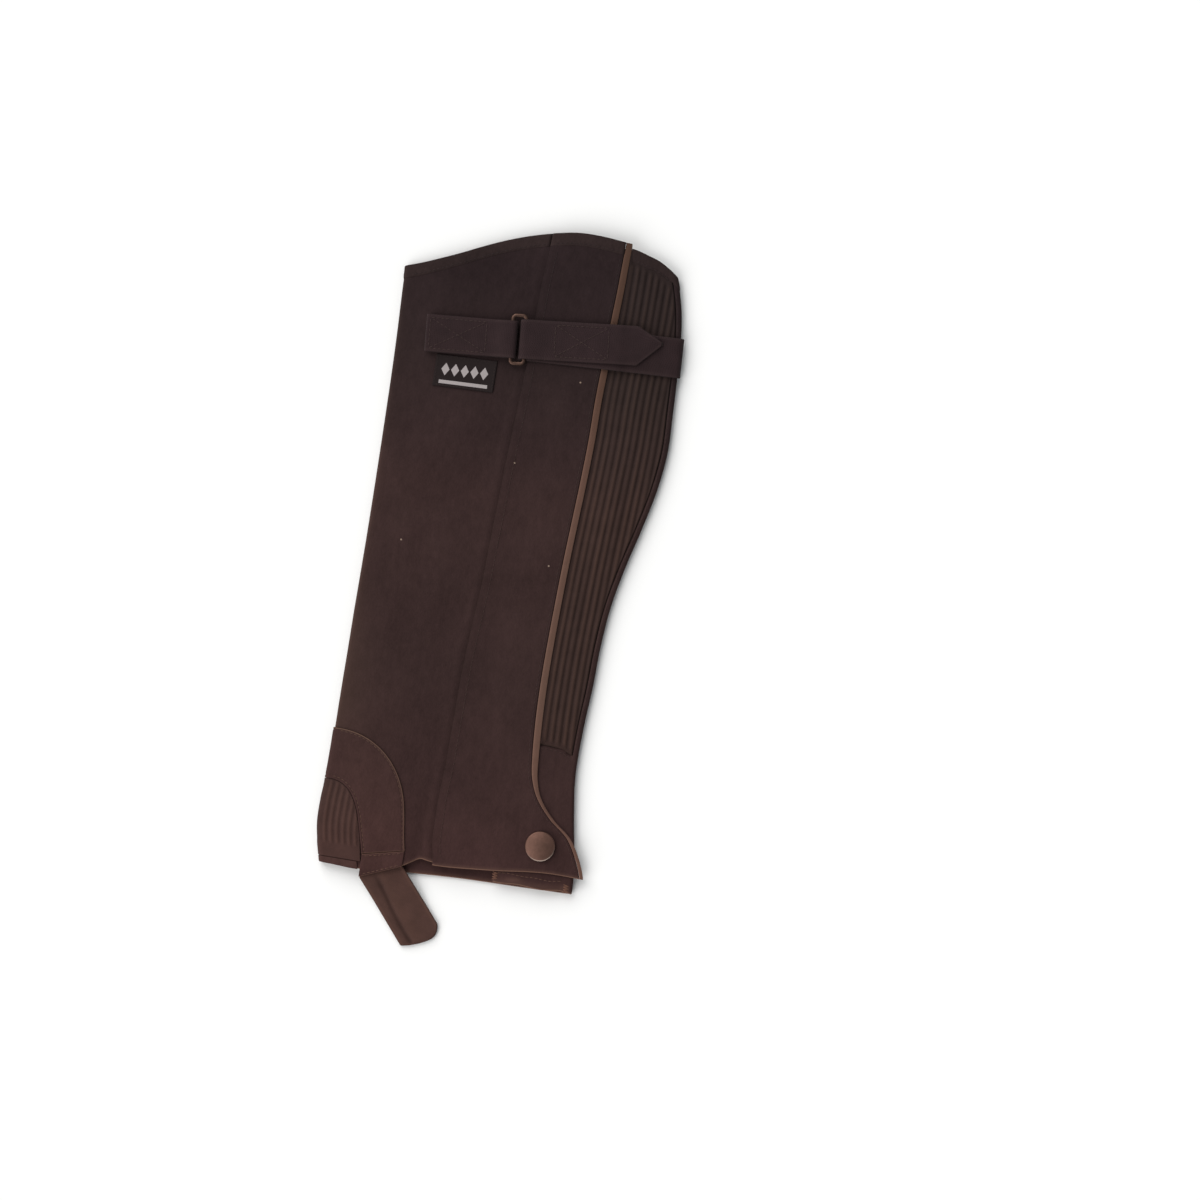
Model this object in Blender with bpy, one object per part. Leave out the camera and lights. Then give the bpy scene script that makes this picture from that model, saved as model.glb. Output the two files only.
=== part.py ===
"""Half chap of brown synthetic suede, laid flat with its outer side up.

Sizes are in millimetres until a mesh is made. u runs across the leg from the shin edge to
the calf edge, v runs up the leg from the hem, and z is the height above the surface that
the half chap lies on. The tube is pressed flat: an under wall, an outer wall above it, and
a narrow fold along the shin and along the calf. What lies on a wall is made from the same
skin, moved out.
"""
import math
from collections import namedtuple

import bmesh
import bpy
from mathutils import Vector

MM = 0.001

WALL = 1.6                  # suede
BINDING = 0.8               # binding, patches and tabs
WEBBING = 1.3
GAP = 0.3                   # between two pieces
STACK_GAP = 0.4             # between webbing and what it lies on

REST = GAP + BINDING        # the under wall stands on its patch and bindings
FOLD_RADIUS = 2.3           # outer radius of the two pressed folds
CROWN = 2.0                 # the outer wall rises this much from the folds
CROWN_WIDTH = 25.0
PANEL_TOP = REST + 2 * FOLD_RADIUS + CROWN
FLAP_TOP = GAP + WALL       # above the panel
PIPING_TOP = FLAP_TOP + 0.3
PIPING_SHOULDER = 0.5       # its sides are this much lower than its middle
FOLD_ANGLES = (45, 90, 135)

# One row for each section across the leg. front, seam, edge and calf are places across:
# shin edge, flap seam, flap's free edge where its piping starts, and calf edge.
Section = namedtuple("Section", "height front seam edge piping calf")
SECTIONS = (
    Section(0, 2.5, 74.5, 171.0, 2.4, 165.0),
    Section(14, -1.0, 73.0, 168.5, 2.4, 164.5),
    Section(26, -3.0, 71.0, 164.2, 2.4, 163.3),
    Section(40, -3.1, 70.8, 155.8, 2.5, 160.9),
    Section(50, -2.5, 70.6, 143.7, 2.4, 159.2),
    Section(62, -2.0, 71.2, 133.6, 2.6, 157.4),
    Section(74, -1.8, 71.9, 128.3, 3.5, 155.9),
    Section(86, -1.8, 72.1, 126.3, 4.1, 155.2),
    Section(112, -1.8, 72.5, 124.5, 4.8, 155.8),
    Section(138, -1.6, 73.1, 124.0, 5.1, 157.5),
    Section(164, -1.5, 74.6, 124.4, 5.1, 158.4),
    Section(190, -1.2, 76.5, 125.2, 5.2, 160.8),
    Section(216, -1.0, 77.5, 126.2, 5.2, 165.9),
    Section(242, -1.0, 78.6, 127.6, 5.1, 172.5),
    Section(268, -1.1, 79.6, 129.0, 5.1, 178.3),
    Section(294, -1.3, 80.9, 130.0, 5.2, 181.4),
    Section(320, -1.6, 82.4, 130.2, 5.2, 180.8),
    Section(346, -2.2, 83.3, 131.2, 5.0, 179.8),
    Section(372, -3.1, 84.1, 132.3, 4.8, 178.0),
    Section(390, -3.4, 84.8, 133.2, 4.2, 174.9),
    Section(406, -3.6, 85.9, 133.7, 3.8, 169.9),
    Section(424, -3.6, 87.2, 134.3, 3.0, 161.0),
)

# Heights of the cut edges at places across the leg
Edge = namedtuple("Edge", "across height")
MOUTH_OUTER = (
    Edge(-3.5, 386.3), Edge(5.7, 389.4), Edge(15.5, 393.2), Edge(30, 399.4), Edge(44.5, 406.2),
    Edge(59, 412.4), Edge(74, 417.6), Edge(88.7, 421.4), Edge(104, 424), Edge(119.5, 424),
    Edge(138, 422.2),
)
MOUTH_ELASTIC = (
    Edge(104, 420.5), Edge(139, 419.4), Edge(150.5, 416.5), Edge(157.3, 414.3), Edge(164.4, 410.3),
    Edge(170, 406.3),
)
MOUTH_UNDER = (
    Edge(-3.5, 386.3), Edge(8, 389.8), Edge(22, 395), Edge(45, 400), Edge(90, 402.5), Edge(140, 404),
    Edge(170, 406.3),
)
HEM_PANEL = (
    Edge(0, 0.9), Edge(9, 0.6), Edge(27, 0), Edge(40, 2), Edge(55, 6.2), Edge(60, 9.2), Edge(65.4, 12.3),
    Edge(70, 11.8), Edge(76, 11.3), Edge(104, 14),
)
HEM_FLAP = (
    Edge(73, 9.7), Edge(82, 9.8), Edge(98, 11), Edge(117, 12.7), Edge(136, 15), Edge(150, 15.8),
    Edge(171, 15.2),
)
HEM_CALF = (
    Edge(108, 6), Edge(117, 5), Edge(130, 5.6), Edge(145, 4.6), Edge(157, 5.8), Edge(165, 4.6),
)
HEM_UNDER = (
    Edge(0, 0.9), Edge(27, 0), Edge(60, 2), Edge(95, 3.6), Edge(130, 4), Edge(165, 4.6),
)
ELASTIC_FOOT = (
    Edge(104, 97), Edge(130, 96.5), Edge(144, 95.4), Edge(150, 92.8), Edge(157, 92),
)

# The seam on the inner side, as its distance from the calf edge
Inset = namedtuple("Inset", "height inset")
INNER_SEAM = (
    Inset(5, 22), Inset(44, 26), Inset(95, 33), Inset(148, 37), Inset(208, 29), Inset(282, 29),
    Inset(356, 25), Inset(406, 23),
)

ZIP_FOOT = Edge(109, 8)
ZIP_HEAD = Edge(106, 416)
ZIP_OPENING = 4.5           # from the zip's middle to the cut edge on each side
ZIP_TAPE = 11.0
ZIP_TAPE_THICK = 0.7
CHAIN_HALF = 2.2
CHAIN_DEPTH = 1.6

RIB_PITCH = 4.3
RIB_HEIGHT = 0.8
RIBS = 12
RIB_START = 0.4             # from the piping to the first rib
RIB_CREST = (0.3, 0.75)     # shares of the pitch between which a rib is high
RIB_RISE = 1.5              # length over which a rib rises at its ends
RIB_RUN_OUT = 0.9           # a rib closer than this to the calf strip ends there
ELASTIC_INSET = 4.0         # the plain strip between the last rib and the calf edge
ELASTIC_BAND = 8.0          # plain top of the elastic, below its binding
RIB_LEVELS = (106.0, 386.0) # between these heights the elastic's rows are level

BAND_WIDTH = 8.5            # binding of the mouth
ZIP_SIDE_TOP = 419.7        # the outer panel's top edge beside the zip, under the flap

# The gusset at the instep and its ribbed inset, each a rounded quarter beside the shin edge
Quarter = namedtuple("Quarter", "width height base")
GUSSET = Quarter(54.0, 71.0, 16.0)
INSET = Quarter(25.3, 44.0, 10.0)
QUARTER_POWER = 2.2         # 2 is an ellipse, more is squarer
INSTEP_PITCH = 4.0
INSTEP_RIB_FOOT = 14.0
INSTEP_RIB_HEIGHT = 0.6
HEM_BAND = 4.5
HEM_BAND_OFFSETS = (22, 15, 8, 0)

# The foot tabs lean: the heights of their low and high edges at their two ends
TabEnd = namedtuple("TabEnd", "across low high")
FOOT_TAB = (TabEnd(28.2, -5.1, 9.6), TabEnd(54.8, 5.9, 15.6))
FOOT_TAB_DROP = 1.9         # below the hem the outer tab sags this much
FOOT_TAB_DROP_RUN = 6.0

GRIP_INSET = 39.0           # grip patch, from the calf edge
GRIP_FRONT = 12.0
GRIP_FOOT = 216.0
GRIP_HEAD = 386.0
GRIP_CORNER = 26.0

# A trough in the outer wall beside the flap seam, deepest at the hem
Crease = namedtuple("Crease", "across width depth top")
HEM_CREASE = Crease(62.5, 4.5, 1.1, 62.0)

# A rectangular wire ring, turned a little
RING_WIRE, RING_THICK = 2.4, 1.6
RING_MIDDLE = Vector((75.7, 350.3, 0))
RING_HALF_LONG = 15.4
RING_CORNER = 2.4
RING_SKEW = math.radians(5.0)
LEFT_BAR, RIGHT_BAR = 71.4, 80.0
BAR_LOW = 2.7               # underside of the bars, above the panel
BAR_MIDDLE = BAR_LOW + RING_THICK / 2

# Webbing turns round a bar on this half ellipse
TURN_UP = RING_THICK / 2 + STACK_GAP + WEBBING / 2
TURN_ACROSS = RING_WIRE / 2 + 2 * GAP + WEBBING / 2
UPPER_PLY = BAR_MIDDLE + TURN_UP
LOWER_PLY = BAR_MIDDLE - TURN_UP

# The doubled tab that holds the ring: its line runs through these two points
TAB_WIDTH = 24.0
TAB_LINE = ((16.2, 345.6), (63.0, 349.1))
TAB_LOW = GAP + WEBBING / 2
TAB_HIGH = TAB_LOW + WEBBING + GAP

# The calf strap's two plies: at each place across, what it lies on and how far above that
STRAP_WIDTH = 25.4
STRAP_LOW_LINE = ((75.0, 350.0), (181.0, 354.8))
STRAP_HIGH_LINE = ((75.0, 350.6), (150.0, 358.0))
STRAP_LEVEL = 353.0         # height up the leg at which the strap's lie is worked out
Lie = namedtuple("Lie", "across on above")
STRAP_LOWER = (
    Lie(83, "flap", -0.25), Lie(86, "flap", 0), Lie(100, "flap", 0), Lie(118, "flap", 0),
    Lie(127, "piping", 0), Lie(139.5, "piping", 0), Lie(144.5, "ribs", 0.5), Lie(149, "ribs", 0),
    Lie(156, "ribs", 0), Lie(162, "ribs", 0), Lie(168, "ribs", 0), Lie(173, "ribs", 0),
)
STRAP_UPPER = (
    Lie(92, "flap", 0), Lie(100, "flap", 0), Lie(118, "flap", 0), Lie(127, "piping", 0),
    Lie(139.5, "piping", 0), Lie(146, "ribs", 0.5), Lie(151, "ribs", 0.2), Lie(160, "ribs", 0.2),
    Lie(167.5, "ribs", 0.2),
)
# The strap's pointed tip, from its end inwards: share of the width, and shift up the leg
Taper = namedtuple("Taper", "share rise")
STRAP_TIP = (Taper(0.12, 2.0), Taper(0.52, 1.2))

# Elastic strap under the foot, from the hem along a leaning line
FOOT_START = Vector((28.8, -5.8))
FOOT_ALONG = Vector((0.639, -0.769))
FOOT_SIDE = Vector((0.769, 0.639))
FOOT_THICK = 1.2
FOOT_LANES = (0, 5, 10, 15, 20, 25, 27.5)
FOOT_SETTLE = (3.0, 21.0)   # distances from the hem between which the strap comes down
FOOT_INSIDE = Edge(27.0, 8.5)
FOOT_INSIDE_SLOPE = 0.23
# How far the foot strap's loop reaches at places across it
Loop = namedtuple("Loop", "lane reach")
FOOT_LOOP = (Loop(0, 51.3), Loop(5, 54), Loop(14, 57), Loop(21, 57.5), Loop(25, 55), Loop(27.5, 51.6))

# A small woven label below the strap's tab, its low left corner and sizes
LABEL_CORNER = (25.6, 313.1)
LABEL_WIDTH, LABEL_HEIGHT, LABEL_THICK = 39.0, 20.4, 0.6
LABEL_RISE = 1.2

# Side profiles of the snap's cap and of the ring in the mouth
Turn = namedtuple("Turn", "radius height")
SNAP_PLACE = (140.0, 32.5)
SNAP_CAP = (Turn(8.7, 0), Turn(9.6, 0.75), Turn(9.3, 1.5), Turn(7.7, 2.35), Turn(4.8, 2.8), Turn(1.9, 3.0))
SNAP_BACK_PLACE = (122.0, 411.0)
SNAP_BACK = (Turn(4.0, -1.0), Turn(4.0, 0), Turn(1.4, 0), Turn(1.4, -0.7), Turn(2.6, -1.2), Turn(3.6, -1.2))

SLIDER_DROP = 4.0           # the zip's slider is this far below its head
SLIDER_HALF, SLIDER_LONG = 3.8, 11.0
PULL_HALF, PULL_LONG = 1.8, 22.6
PULL_THICK = 0.9


def curve(points):
    """A smooth function through (place, value) pairs that holds its end values."""
    places = [point[0] for point in points]
    values = [point[1] for point in points]
    last = len(points) - 1
    slopes = []
    for k in range(len(points)):
        low, high = max(k - 1, 0), min(k + 1, last)
        slopes.append((values[high] - values[low]) / (places[high] - places[low]))

    def value(place):
        place = min(max(place, places[0]), places[-1])
        k = 0
        while k < last - 1 and place > places[k + 1]:
            k += 1
        span = places[k + 1] - places[k]
        t = (place - places[k]) / span
        rise = values[k + 1] - values[k]
        bend_in = slopes[k] * span - rise
        bend_out = rise - slopes[k + 1] * span
        return values[k] + rise * t + t * (1 - t) * (bend_in * (1 - t) + bend_out * t)

    return value


def ease(share):
    """Smooth step from 0 to 1."""
    share = min(max(share, 0.0), 1.0)
    return share * share * (3 - 2 * share)


front = curve([(row.height, row.front) for row in SECTIONS])
seam = curve([(row.height, row.seam) for row in SECTIONS])
flap_edge = curve([(row.height, row.edge) for row in SECTIONS])
piping_width = curve([(row.height, row.piping) for row in SECTIONS])
calf = curve([(row.height, row.calf) for row in SECTIONS])
seam_inset = curve(INNER_SEAM)


def piping_end(v):
    return flap_edge(v) + piping_width(v)


def inner_seam(v):
    return calf(v) - seam_inset(v)


def zip_line(v):
    share = (v - ZIP_FOOT.height) / (ZIP_HEAD.height - ZIP_FOOT.height)
    return ZIP_FOOT.across + (ZIP_HEAD.across - ZIP_FOOT.across) * share


def crease_depth(u, v):
    off = (u - HEM_CREASE.across) / HEM_CREASE.width
    return HEM_CREASE.depth * math.exp(-off * off) * ease(1 - v / HEM_CREASE.top)


def outer_face(u, v):
    """Height of the outer wall's outer face."""
    room = min(u - front(v), calf(v) - u) - FOLD_RADIUS
    return REST + 2 * FOLD_RADIUS + CROWN * ease(room / CROWN_WIDTH) - crease_depth(u, v)


# A column is a line up the leg. across(v) is its place in the flat view, and
# point(v, out) is a point on it, moved out from the tube's outer face.
Column = namedtuple("Column", "across point side")


def top_column(across):
    return Column(across, lambda v, out: Vector((across(v), v, outer_face(across(v), v) + out)), "top")


def under_column(across):
    return Column(across, lambda v, out: Vector((across(v), v, REST - out)), "under")


def fold_column(edge, way, degrees):
    """A column round a fold, 0 degrees at its top and 180 at its underside."""
    angle = math.radians(degrees)

    def point(v, out):
        radius = FOLD_RADIUS + out
        middle = edge(v) + way * FOLD_RADIUS
        return Vector((middle - way * radius * math.sin(angle), v,
                       REST + FOLD_RADIUS + radius * math.cos(angle)))

    return Column(lambda v: edge(v) + way * FOLD_RADIUS * (1 - math.sin(angle)), point, "fold")


def shin_fold(degrees):
    return fold_column(front, 1, degrees)


def calf_fold(degrees):
    return fold_column(calf, -1, degrees)


def between(left, right, shares):
    """Lines across the width from one edge line to another."""
    return [lambda v, share=share: left(v) + (right(v) - left(v)) * share for share in shares]


def steps(count):
    return [k / count for k in range(count + 1)]


def shin_top(v):
    return front(v) + FOLD_RADIUS


def calf_top(v):
    return calf(v) - FOLD_RADIUS


def meet(column, edge_height, start):
    """Height at which a column crosses a cut edge."""
    v = start
    for _ in range(12):
        v = edge_height(column.across(v))
    return v


materials = {}


def material(name, color, roughness, metallic=0.0):
    surface = bpy.data.materials.new(name)
    surface.use_nodes = True
    shader = surface.node_tree.nodes["Principled BSDF"]
    shader.inputs["Base Color"].default_value = (*color, 1.0)
    shader.inputs["Roughness"].default_value = roughness
    shader.inputs["Metallic"].default_value = metallic
    materials[name] = surface


def add_mesh(name, shape, surface):
    """Make a named object from a bmesh in millimetres."""
    bmesh.ops.recalc_face_normals(shape, faces=shape.faces)
    bmesh.ops.scale(shape, vec=(MM, MM, MM), verts=shape.verts)
    mesh = bpy.data.meshes.new(name)
    shape.to_mesh(mesh)
    shape.free()
    mesh.shade_smooth()
    mesh.set_sharp_from_angle(angle=math.radians(35))
    piece = bpy.data.objects.new(name, mesh)
    bpy.context.scene.collection.objects.link(piece)
    mesh.materials.append(materials[surface].copy())
    mesh.materials[0].name = name
    return piece


def shell(name, surface, outer, inner, keep=None):
    """A closed wall between two grids of points. keep(row, column) leaves cells out."""
    shape = bmesh.new()

    def layer(grid):
        rows = []
        for line in grid:
            verts = []
            for point in line:
                same = verts and (verts[-1].co - point).length < 1e-4
                verts.append(verts[-1] if same else shape.verts.new(point))
            rows.append(verts)
        return rows

    over, below = layer(outer), layer(inner)
    borders = {}
    for i in range(len(outer) - 1):
        for j in range(len(outer[0]) - 1):
            if keep and not keep(i, j):
                continue
            corners = ((i, j), (i, j + 1), (i + 1, j + 1), (i + 1, j))
            loop = []
            for row, column in corners:
                if not loop or over[row][column] is not loop[-1][0]:
                    loop.append((over[row][column], below[row][column]))
            if loop[0][0] is loop[-1][0]:
                loop.pop()
            if len(loop) < 3:
                continue
            shape.faces.new([pair[0] for pair in loop])
            shape.faces.new([pair[1] for pair in reversed(loop)])
            for first, second in zip(loop, loop[1:] + loop[:1]):
                back = (second[0], first[0])
                if back in borders:
                    del borders[back]
                else:
                    borders[(first[0], second[0])] = (first, second)
    for first, second in borders.values():
        shape.faces.new((second[0], first[0], first[1], second[1]))
    loose = [vert for vert in shape.verts if not vert.link_faces]
    bmesh.ops.delete(shape, geom=loose, context="VERTS")
    return add_mesh(name, shape, surface)


def loft(name, surface, rings, closed=False):
    """A solid through rings of points, capped at both ends unless it closes on itself."""
    shape = bmesh.new()
    loops = [[shape.verts.new(point) for point in ring] for ring in rings]
    count = len(loops[0])
    pairs = list(zip(loops, loops[1:]))
    if closed:
        pairs.append((loops[-1], loops[0]))
    for first, second in pairs:
        for k in range(count):
            n = (k + 1) % count
            shape.faces.new((first[k], first[n], second[n], second[k]))
    if not closed:
        shape.faces.new(loops[0])
        shape.faces.new(loops[-1])
    return add_mesh(name, shape, surface)


def wall_piece(name, surface, columns, heights, lift=0.0, thick=WALL, raise_by=None, keep=None):
    """A panel on the tube's skin: heights(column) gives each column's heights.

    lift is the inner face's height above the tube's outer face, for what lies on it.
    """
    outer, inner = [], []
    ladders = [heights(column) for column in columns]
    for i in range(len(ladders[0])):
        over, below = [], []
        for j, column in enumerate(columns):
            v = ladders[j][i]
            proud = raise_by(j, v) if raise_by else 0.0
            over.append(column.point(v, lift + thick + proud))
            below.append(column.point(v, lift))
        outer.append(over)
        inner.append(below)
    return shell(name, surface, outer, inner, keep)


def spread(low, high, shares):
    return [low + (high - low) * share for share in shares]


def mouth_height(column):
    line = {"top": mouth_outer, "fold": mouth_outer, "under": mouth_under}[column.side]
    return meet(column, line, HIGH_START) - GAP - BINDING


mouth_outer = curve(MOUTH_OUTER)
mouth_elastic = curve(MOUTH_ELASTIC)
mouth_under = curve(MOUTH_UNDER)
hem_panel = curve(HEM_PANEL)
hem_flap = curve(HEM_FLAP)
hem_calf = curve(HEM_CALF)
hem_under = curve(HEM_UNDER)
elastic_foot = curve(ELASTIC_FOOT)

BODY_ROWS = steps(22)
TAB_ROWS = steps(14)
FLAP_NARROW = 100.0
ZIP_LADDER = spread(ZIP_FOOT.height + 5, ZIP_HEAD.height - 1, steps(10))

# Where a search for a cut edge's height starts
LOW_START, FOOT_START_HEIGHT, HIGH_START = 5.0, 95.0, 410.0


def zip_edge_left(v):
    return zip_line(v) - ZIP_OPENING


def zip_edge_right(v):
    return zip_line(v) + ZIP_OPENING


def crease_shin_side(v):
    """The line where the hem crease has run out, towards the shin."""
    return HEM_CREASE.across - 2 * HEM_CREASE.width


def main_panel():
    """From the zip over the outer side, round the shin edge, to the inner seam."""
    zip_side = [top_column(line) for line in between(zip_edge_left, seam, steps(2))]
    outer = between(seam, crease_shin_side, steps(4))[1:] + between(crease_shin_side, shin_top, steps(7))[1:]
    inner = between(shin_top, lambda v: inner_seam(v) - GAP / 2, steps(10))
    columns = zip_side + [top_column(line) for line in outer]
    columns += [shin_fold(degrees) for degrees in FOLD_ANGLES]
    columns += [under_column(line) for line in inner]

    def heights(column):
        hem = {"top": hem_panel, "fold": hem_panel, "under": hem_under}[column.side]
        top = mouth_height(column)
        if column in zip_side[:-1]:
            top = min(top, ZIP_SIDE_TOP)
        return spread(meet(column, hem, LOW_START), top, BODY_ROWS)

    wall_piece("main_panel", "suede", columns, heights, -WALL)


def elastic_end(v):
    return calf(v) - ELASTIC_INSET


def elastic_panel():
    """Ribbed elastic: its ribs run along the flap's free edge and out at the calf strip."""
    def rib_line(offset):
        def place(v):
            place_across = piping_end(v) + offset
            limit = elastic_end(v)
            return limit if place_across > limit - RIB_RUN_OUT else place_across

        return place

    lines = between(zip_edge_right, rib_line(RIB_START), steps(2))
    rib_shares = [0.0] * len(lines)
    for rib in range(RIBS):
        for share in (*RIB_CREST, 1.0):
            lines.append(rib_line(RIB_START + (rib + share) * RIB_PITCH))
            rib_shares.append(0.0 if share == 1.0 else 1.0)
    columns = [top_column(line) for line in lines]

    def heights(column):
        low = meet(column, elastic_foot, FOOT_START_HEIGHT) + GAP
        top = meet(column, mouth_elastic, HIGH_START) - GAP - BINDING
        ribs_top = top - ELASTIC_BAND
        level = spread(RIB_LEVELS[0], RIB_LEVELS[1], steps(16))
        return [low, low + RIB_RISE, low + 2 * RIB_RISE] + level + [ribs_top - RIB_RISE, ribs_top, top]

    ladders = [heights(column) for column in columns]

    def rib(j, v):
        low, high = ladders[j][2], ladders[j][-3]
        on_elastic = columns[j].across(v) < elastic_end(v) - 0.1
        return RIB_HEIGHT * rib_shares[j] if low <= v <= high and on_elastic else 0.0

    wall_piece("elastic_panel", "elastic", columns, heights, -WALL, WALL, rib)


def calf_panel():
    """Below the elastic on the outer side, round the calf edge, to the inner seam."""
    outer = between(zip_edge_right, lambda v: elastic_end(v) + GAP, steps(9))
    inner = between(calf_top, lambda v: inner_seam(v) + GAP / 2, steps(3))
    columns = [top_column(line) for line in outer] + [top_column(calf_top)]
    columns += [calf_fold(degrees) for degrees in FOLD_ANGLES]
    columns += [under_column(line) for line in inner]
    foot_rows = 6
    strip_start = len(outer) - 1

    def heights(column):
        hem = {"top": hem_calf, "fold": hem_calf, "under": hem_under}[column.side]
        rim = {"top": mouth_elastic, "fold": mouth_elastic, "under": mouth_under}[column.side]
        low = meet(column, hem, LOW_START)
        middle = meet(column, elastic_foot, FOOT_START_HEIGHT)
        high = meet(column, rim, HIGH_START) - GAP - BINDING
        turn = RIB_LEVELS[1]
        return (spread(low, middle, steps(foot_rows)) + spread(middle, turn, steps(16))[1:]
                + spread(turn, high, steps(4))[1:])

    wall_piece("calf_panel", "suede", columns, heights, -WALL,
               keep=lambda row, column: row < foot_rows or column >= strip_start)


def flap_columns():
    lines = between(lambda v: seam(v) + GAP, lambda v: flap_edge(v) - GAP, steps(8))
    return [top_column(line) for line in lines]


def flap_ladder(low, high):
    """Heights up the flap, closer together where its tab swings out."""
    return spread(low, FLAP_NARROW, TAB_ROWS) + spread(FLAP_NARROW, high, steps(18))[1:]


def flap():
    """The cover over the zip, with a tab that swings out to the calf edge at the hem."""
    def heights(column):
        low = meet(column, hem_flap, LOW_START)
        return flap_ladder(low, meet(column, mouth_outer, HIGH_START) - GAP - BINDING)

    wall_piece("flap", "suede", flap_columns(), heights, GAP, WALL)


def piping():
    """Flat binding on the flap's free edge, as rings at rising heights."""
    free_edge = top_column(flap_edge)
    low = meet(free_edge, hem_flap, LOW_START)
    high = meet(free_edge, mouth_outer, HIGH_START)
    rings = []
    for v in flap_ladder(low, high):
        left, width = flap_edge(v), piping_width(v)
        right = left + width
        crown = outer_face(left + width / 2, v) + PIPING_TOP
        shoulder = crown - PIPING_SHOULDER
        profile = (
            (left, outer_face(left, v) + GAP), (right, outer_face(right, v) + GAP), (right, shoulder),
            (left + 0.7 * width, crown), (left + 0.3 * width, crown), (left, shoulder),
        )
        rings.append([Vector((u, v, z)) for u, z in profile])
    loft("piping", "piping", rings)


def binding(name, columns, edge, lift):
    """A strip over a cut edge: a leg down the outer face and a cap to the inner face."""
    outer, inner = lift + BINDING, lift - GAP - WALL
    rings = []
    for column in columns:
        top = meet(column, edge[column.side], HIGH_START)
        low, cap = top - BAND_WIDTH, top - BINDING
        profile = ((top, inner), (top, outer), (low, outer), (low, lift), (cap, lift), (cap, inner))
        rings.append([column.point(v, out) for v, out in profile])
    loft(name, "binding", rings)


def mouth_bindings():
    """The bindings of the mouth: round the shin edge, on the flap and on the elastic."""
    outer = between(lambda v: seam(v) - GAP, shin_top, steps(12))
    columns = [top_column(line) for line in outer] + [shin_fold(degrees) for degrees in FOLD_ANGLES]
    columns += [under_column(line) for line in between(shin_top, calf_top, steps(14))]
    rim = {"top": mouth_outer, "fold": mouth_outer, "under": mouth_under}
    binding("top_binding", columns, rim, GAP)
    binding("flap_binding", flap_columns(), rim, FLAP_TOP + GAP)
    ribbed = between(lambda v: piping_end(v) + GAP, calf_top, steps(7))
    columns = [top_column(line) for line in ribbed] + [calf_fold(degrees) for degrees in FOLD_ANGLES]
    binding("elastic_binding", columns, {"top": mouth_elastic, "fold": mouth_elastic}, GAP)


def beside_shin(make_column, off):
    """A column at a distance from the shin fold."""
    return make_column(lambda v: shin_top(v) + off)


def round_shin(offsets):
    """Columns from the outer side round the shin fold to the inner side."""
    columns = [beside_shin(top_column, off) for off in offsets]
    columns += [shin_fold(degrees) for degrees in FOLD_ANGLES]
    return columns + [beside_shin(under_column, off) for off in reversed(offsets)]


def quarter(shape, angle):
    """A point of a rounded quarter: its distance from the shin edge, and its height."""
    power = 2 / QUARTER_POWER
    return shape.width * math.cos(angle) ** power, shape.base + shape.height * math.sin(angle) ** power


def quarter_top(shape, off):
    """Height of a rounded quarter's edge at a distance from the shin edge."""
    return shape.base + shape.height * (1 - (off / shape.width) ** QUARTER_POWER) ** (1 / QUARTER_POWER)


def gusset_patch():
    """Suede reinforcement round the instep, in rows from the inset's edge outwards."""
    hole = Quarter(INSET.width + GAP, INSET.height + GAP, INSET.base)
    outer, inner = [], []
    for share in steps(4):
        places = []
        for quadrant in steps(9):
            angle = min(math.radians(90) * quadrant, math.radians(89.99))
            near, far = quarter(hole, angle), quarter(GUSSET, angle)
            places.append([near[k] + (far[k] - near[k]) * share for k in (0, 1)])
        peak = places[-1][1]
        spots = [(beside_shin(top_column, off), v) for off, v in places]
        spots += [(shin_fold(degrees), peak) for degrees in FOLD_ANGLES]
        spots += [(beside_shin(under_column, off), v) for off, v in reversed(places)]
        outer.append([column.point(v, GAP + BINDING) for column, v in spots])
        inner.append([column.point(v, GAP) for column, v in spots])
    shell("gusset_patch", "suede", outer, inner)


def gusset_elastic():
    """The ribbed inset, plain near the hem and on the inner side."""
    half_pitch = INSTEP_PITCH / 2
    offsets = [INSET.width - GAP] + [k * half_pitch for k in range(int(INSET.width / half_pitch), -1, -1)]
    columns = round_shin(offsets)
    distances = offsets + [0.0] * len(FOLD_ANGLES) + offsets[::-1]
    ladders = []
    for off in distances:
        top = quarter_top(INSET, off)
        middle = spread(INSTEP_RIB_FOOT, top, (0.35, 0.7))
        low = INSET.base if off == offsets[0] else HEM_BAND + GAP
        ladders.append([low, INSTEP_RIB_FOOT - 1, INSTEP_RIB_FOOT, *middle, top])

    def rib(j, v):
        crest = j % 2 == 0 and 0 < j < len(offsets)
        return INSTEP_RIB_HEIGHT if crest and INSTEP_RIB_FOOT <= v < ladders[j][-1] else 0.0

    wall_piece("gusset_elastic", "elastic", columns, lambda column: ladders[columns.index(column)],
               GAP, BINDING, rib)


def gusset_hem():
    """The binding of the hem below the inset."""
    wall_piece("gusset_hem", "binding", round_shin(HEM_BAND_OFFSETS),
               lambda column: [meet(column, hem_panel, LOW_START) - GAP, HEM_BAND], GAP, BINDING)


def foot_tab(name, make_column, sag):
    """A suede tab over the hem that holds the foot strap."""
    left, right = FOOT_TAB
    outer, inner = [], []
    for share in steps(6):
        over, below = [], []
        for along in steps(4):
            u = left.across + (right.across - left.across) * along
            low = left.low + (right.low - left.low) * along
            high = left.high + (right.high - left.high) * along
            v = low + (high - low) * share
            hem = hem_panel(u)
            past_hem = min(v - hem, 0)
            drop = sag * ease(-past_hem / FOOT_TAB_DROP_RUN)
            column = make_column(lambda height, u=u: u)
            for line, out in ((over, GAP + BINDING), (below, GAP)):
                line.append(column.point(max(v, hem), out) + Vector((0, past_hem, -drop)))
        outer.append(over)
        inner.append(below)
    shell(name, "suede", outer, inner)


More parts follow.
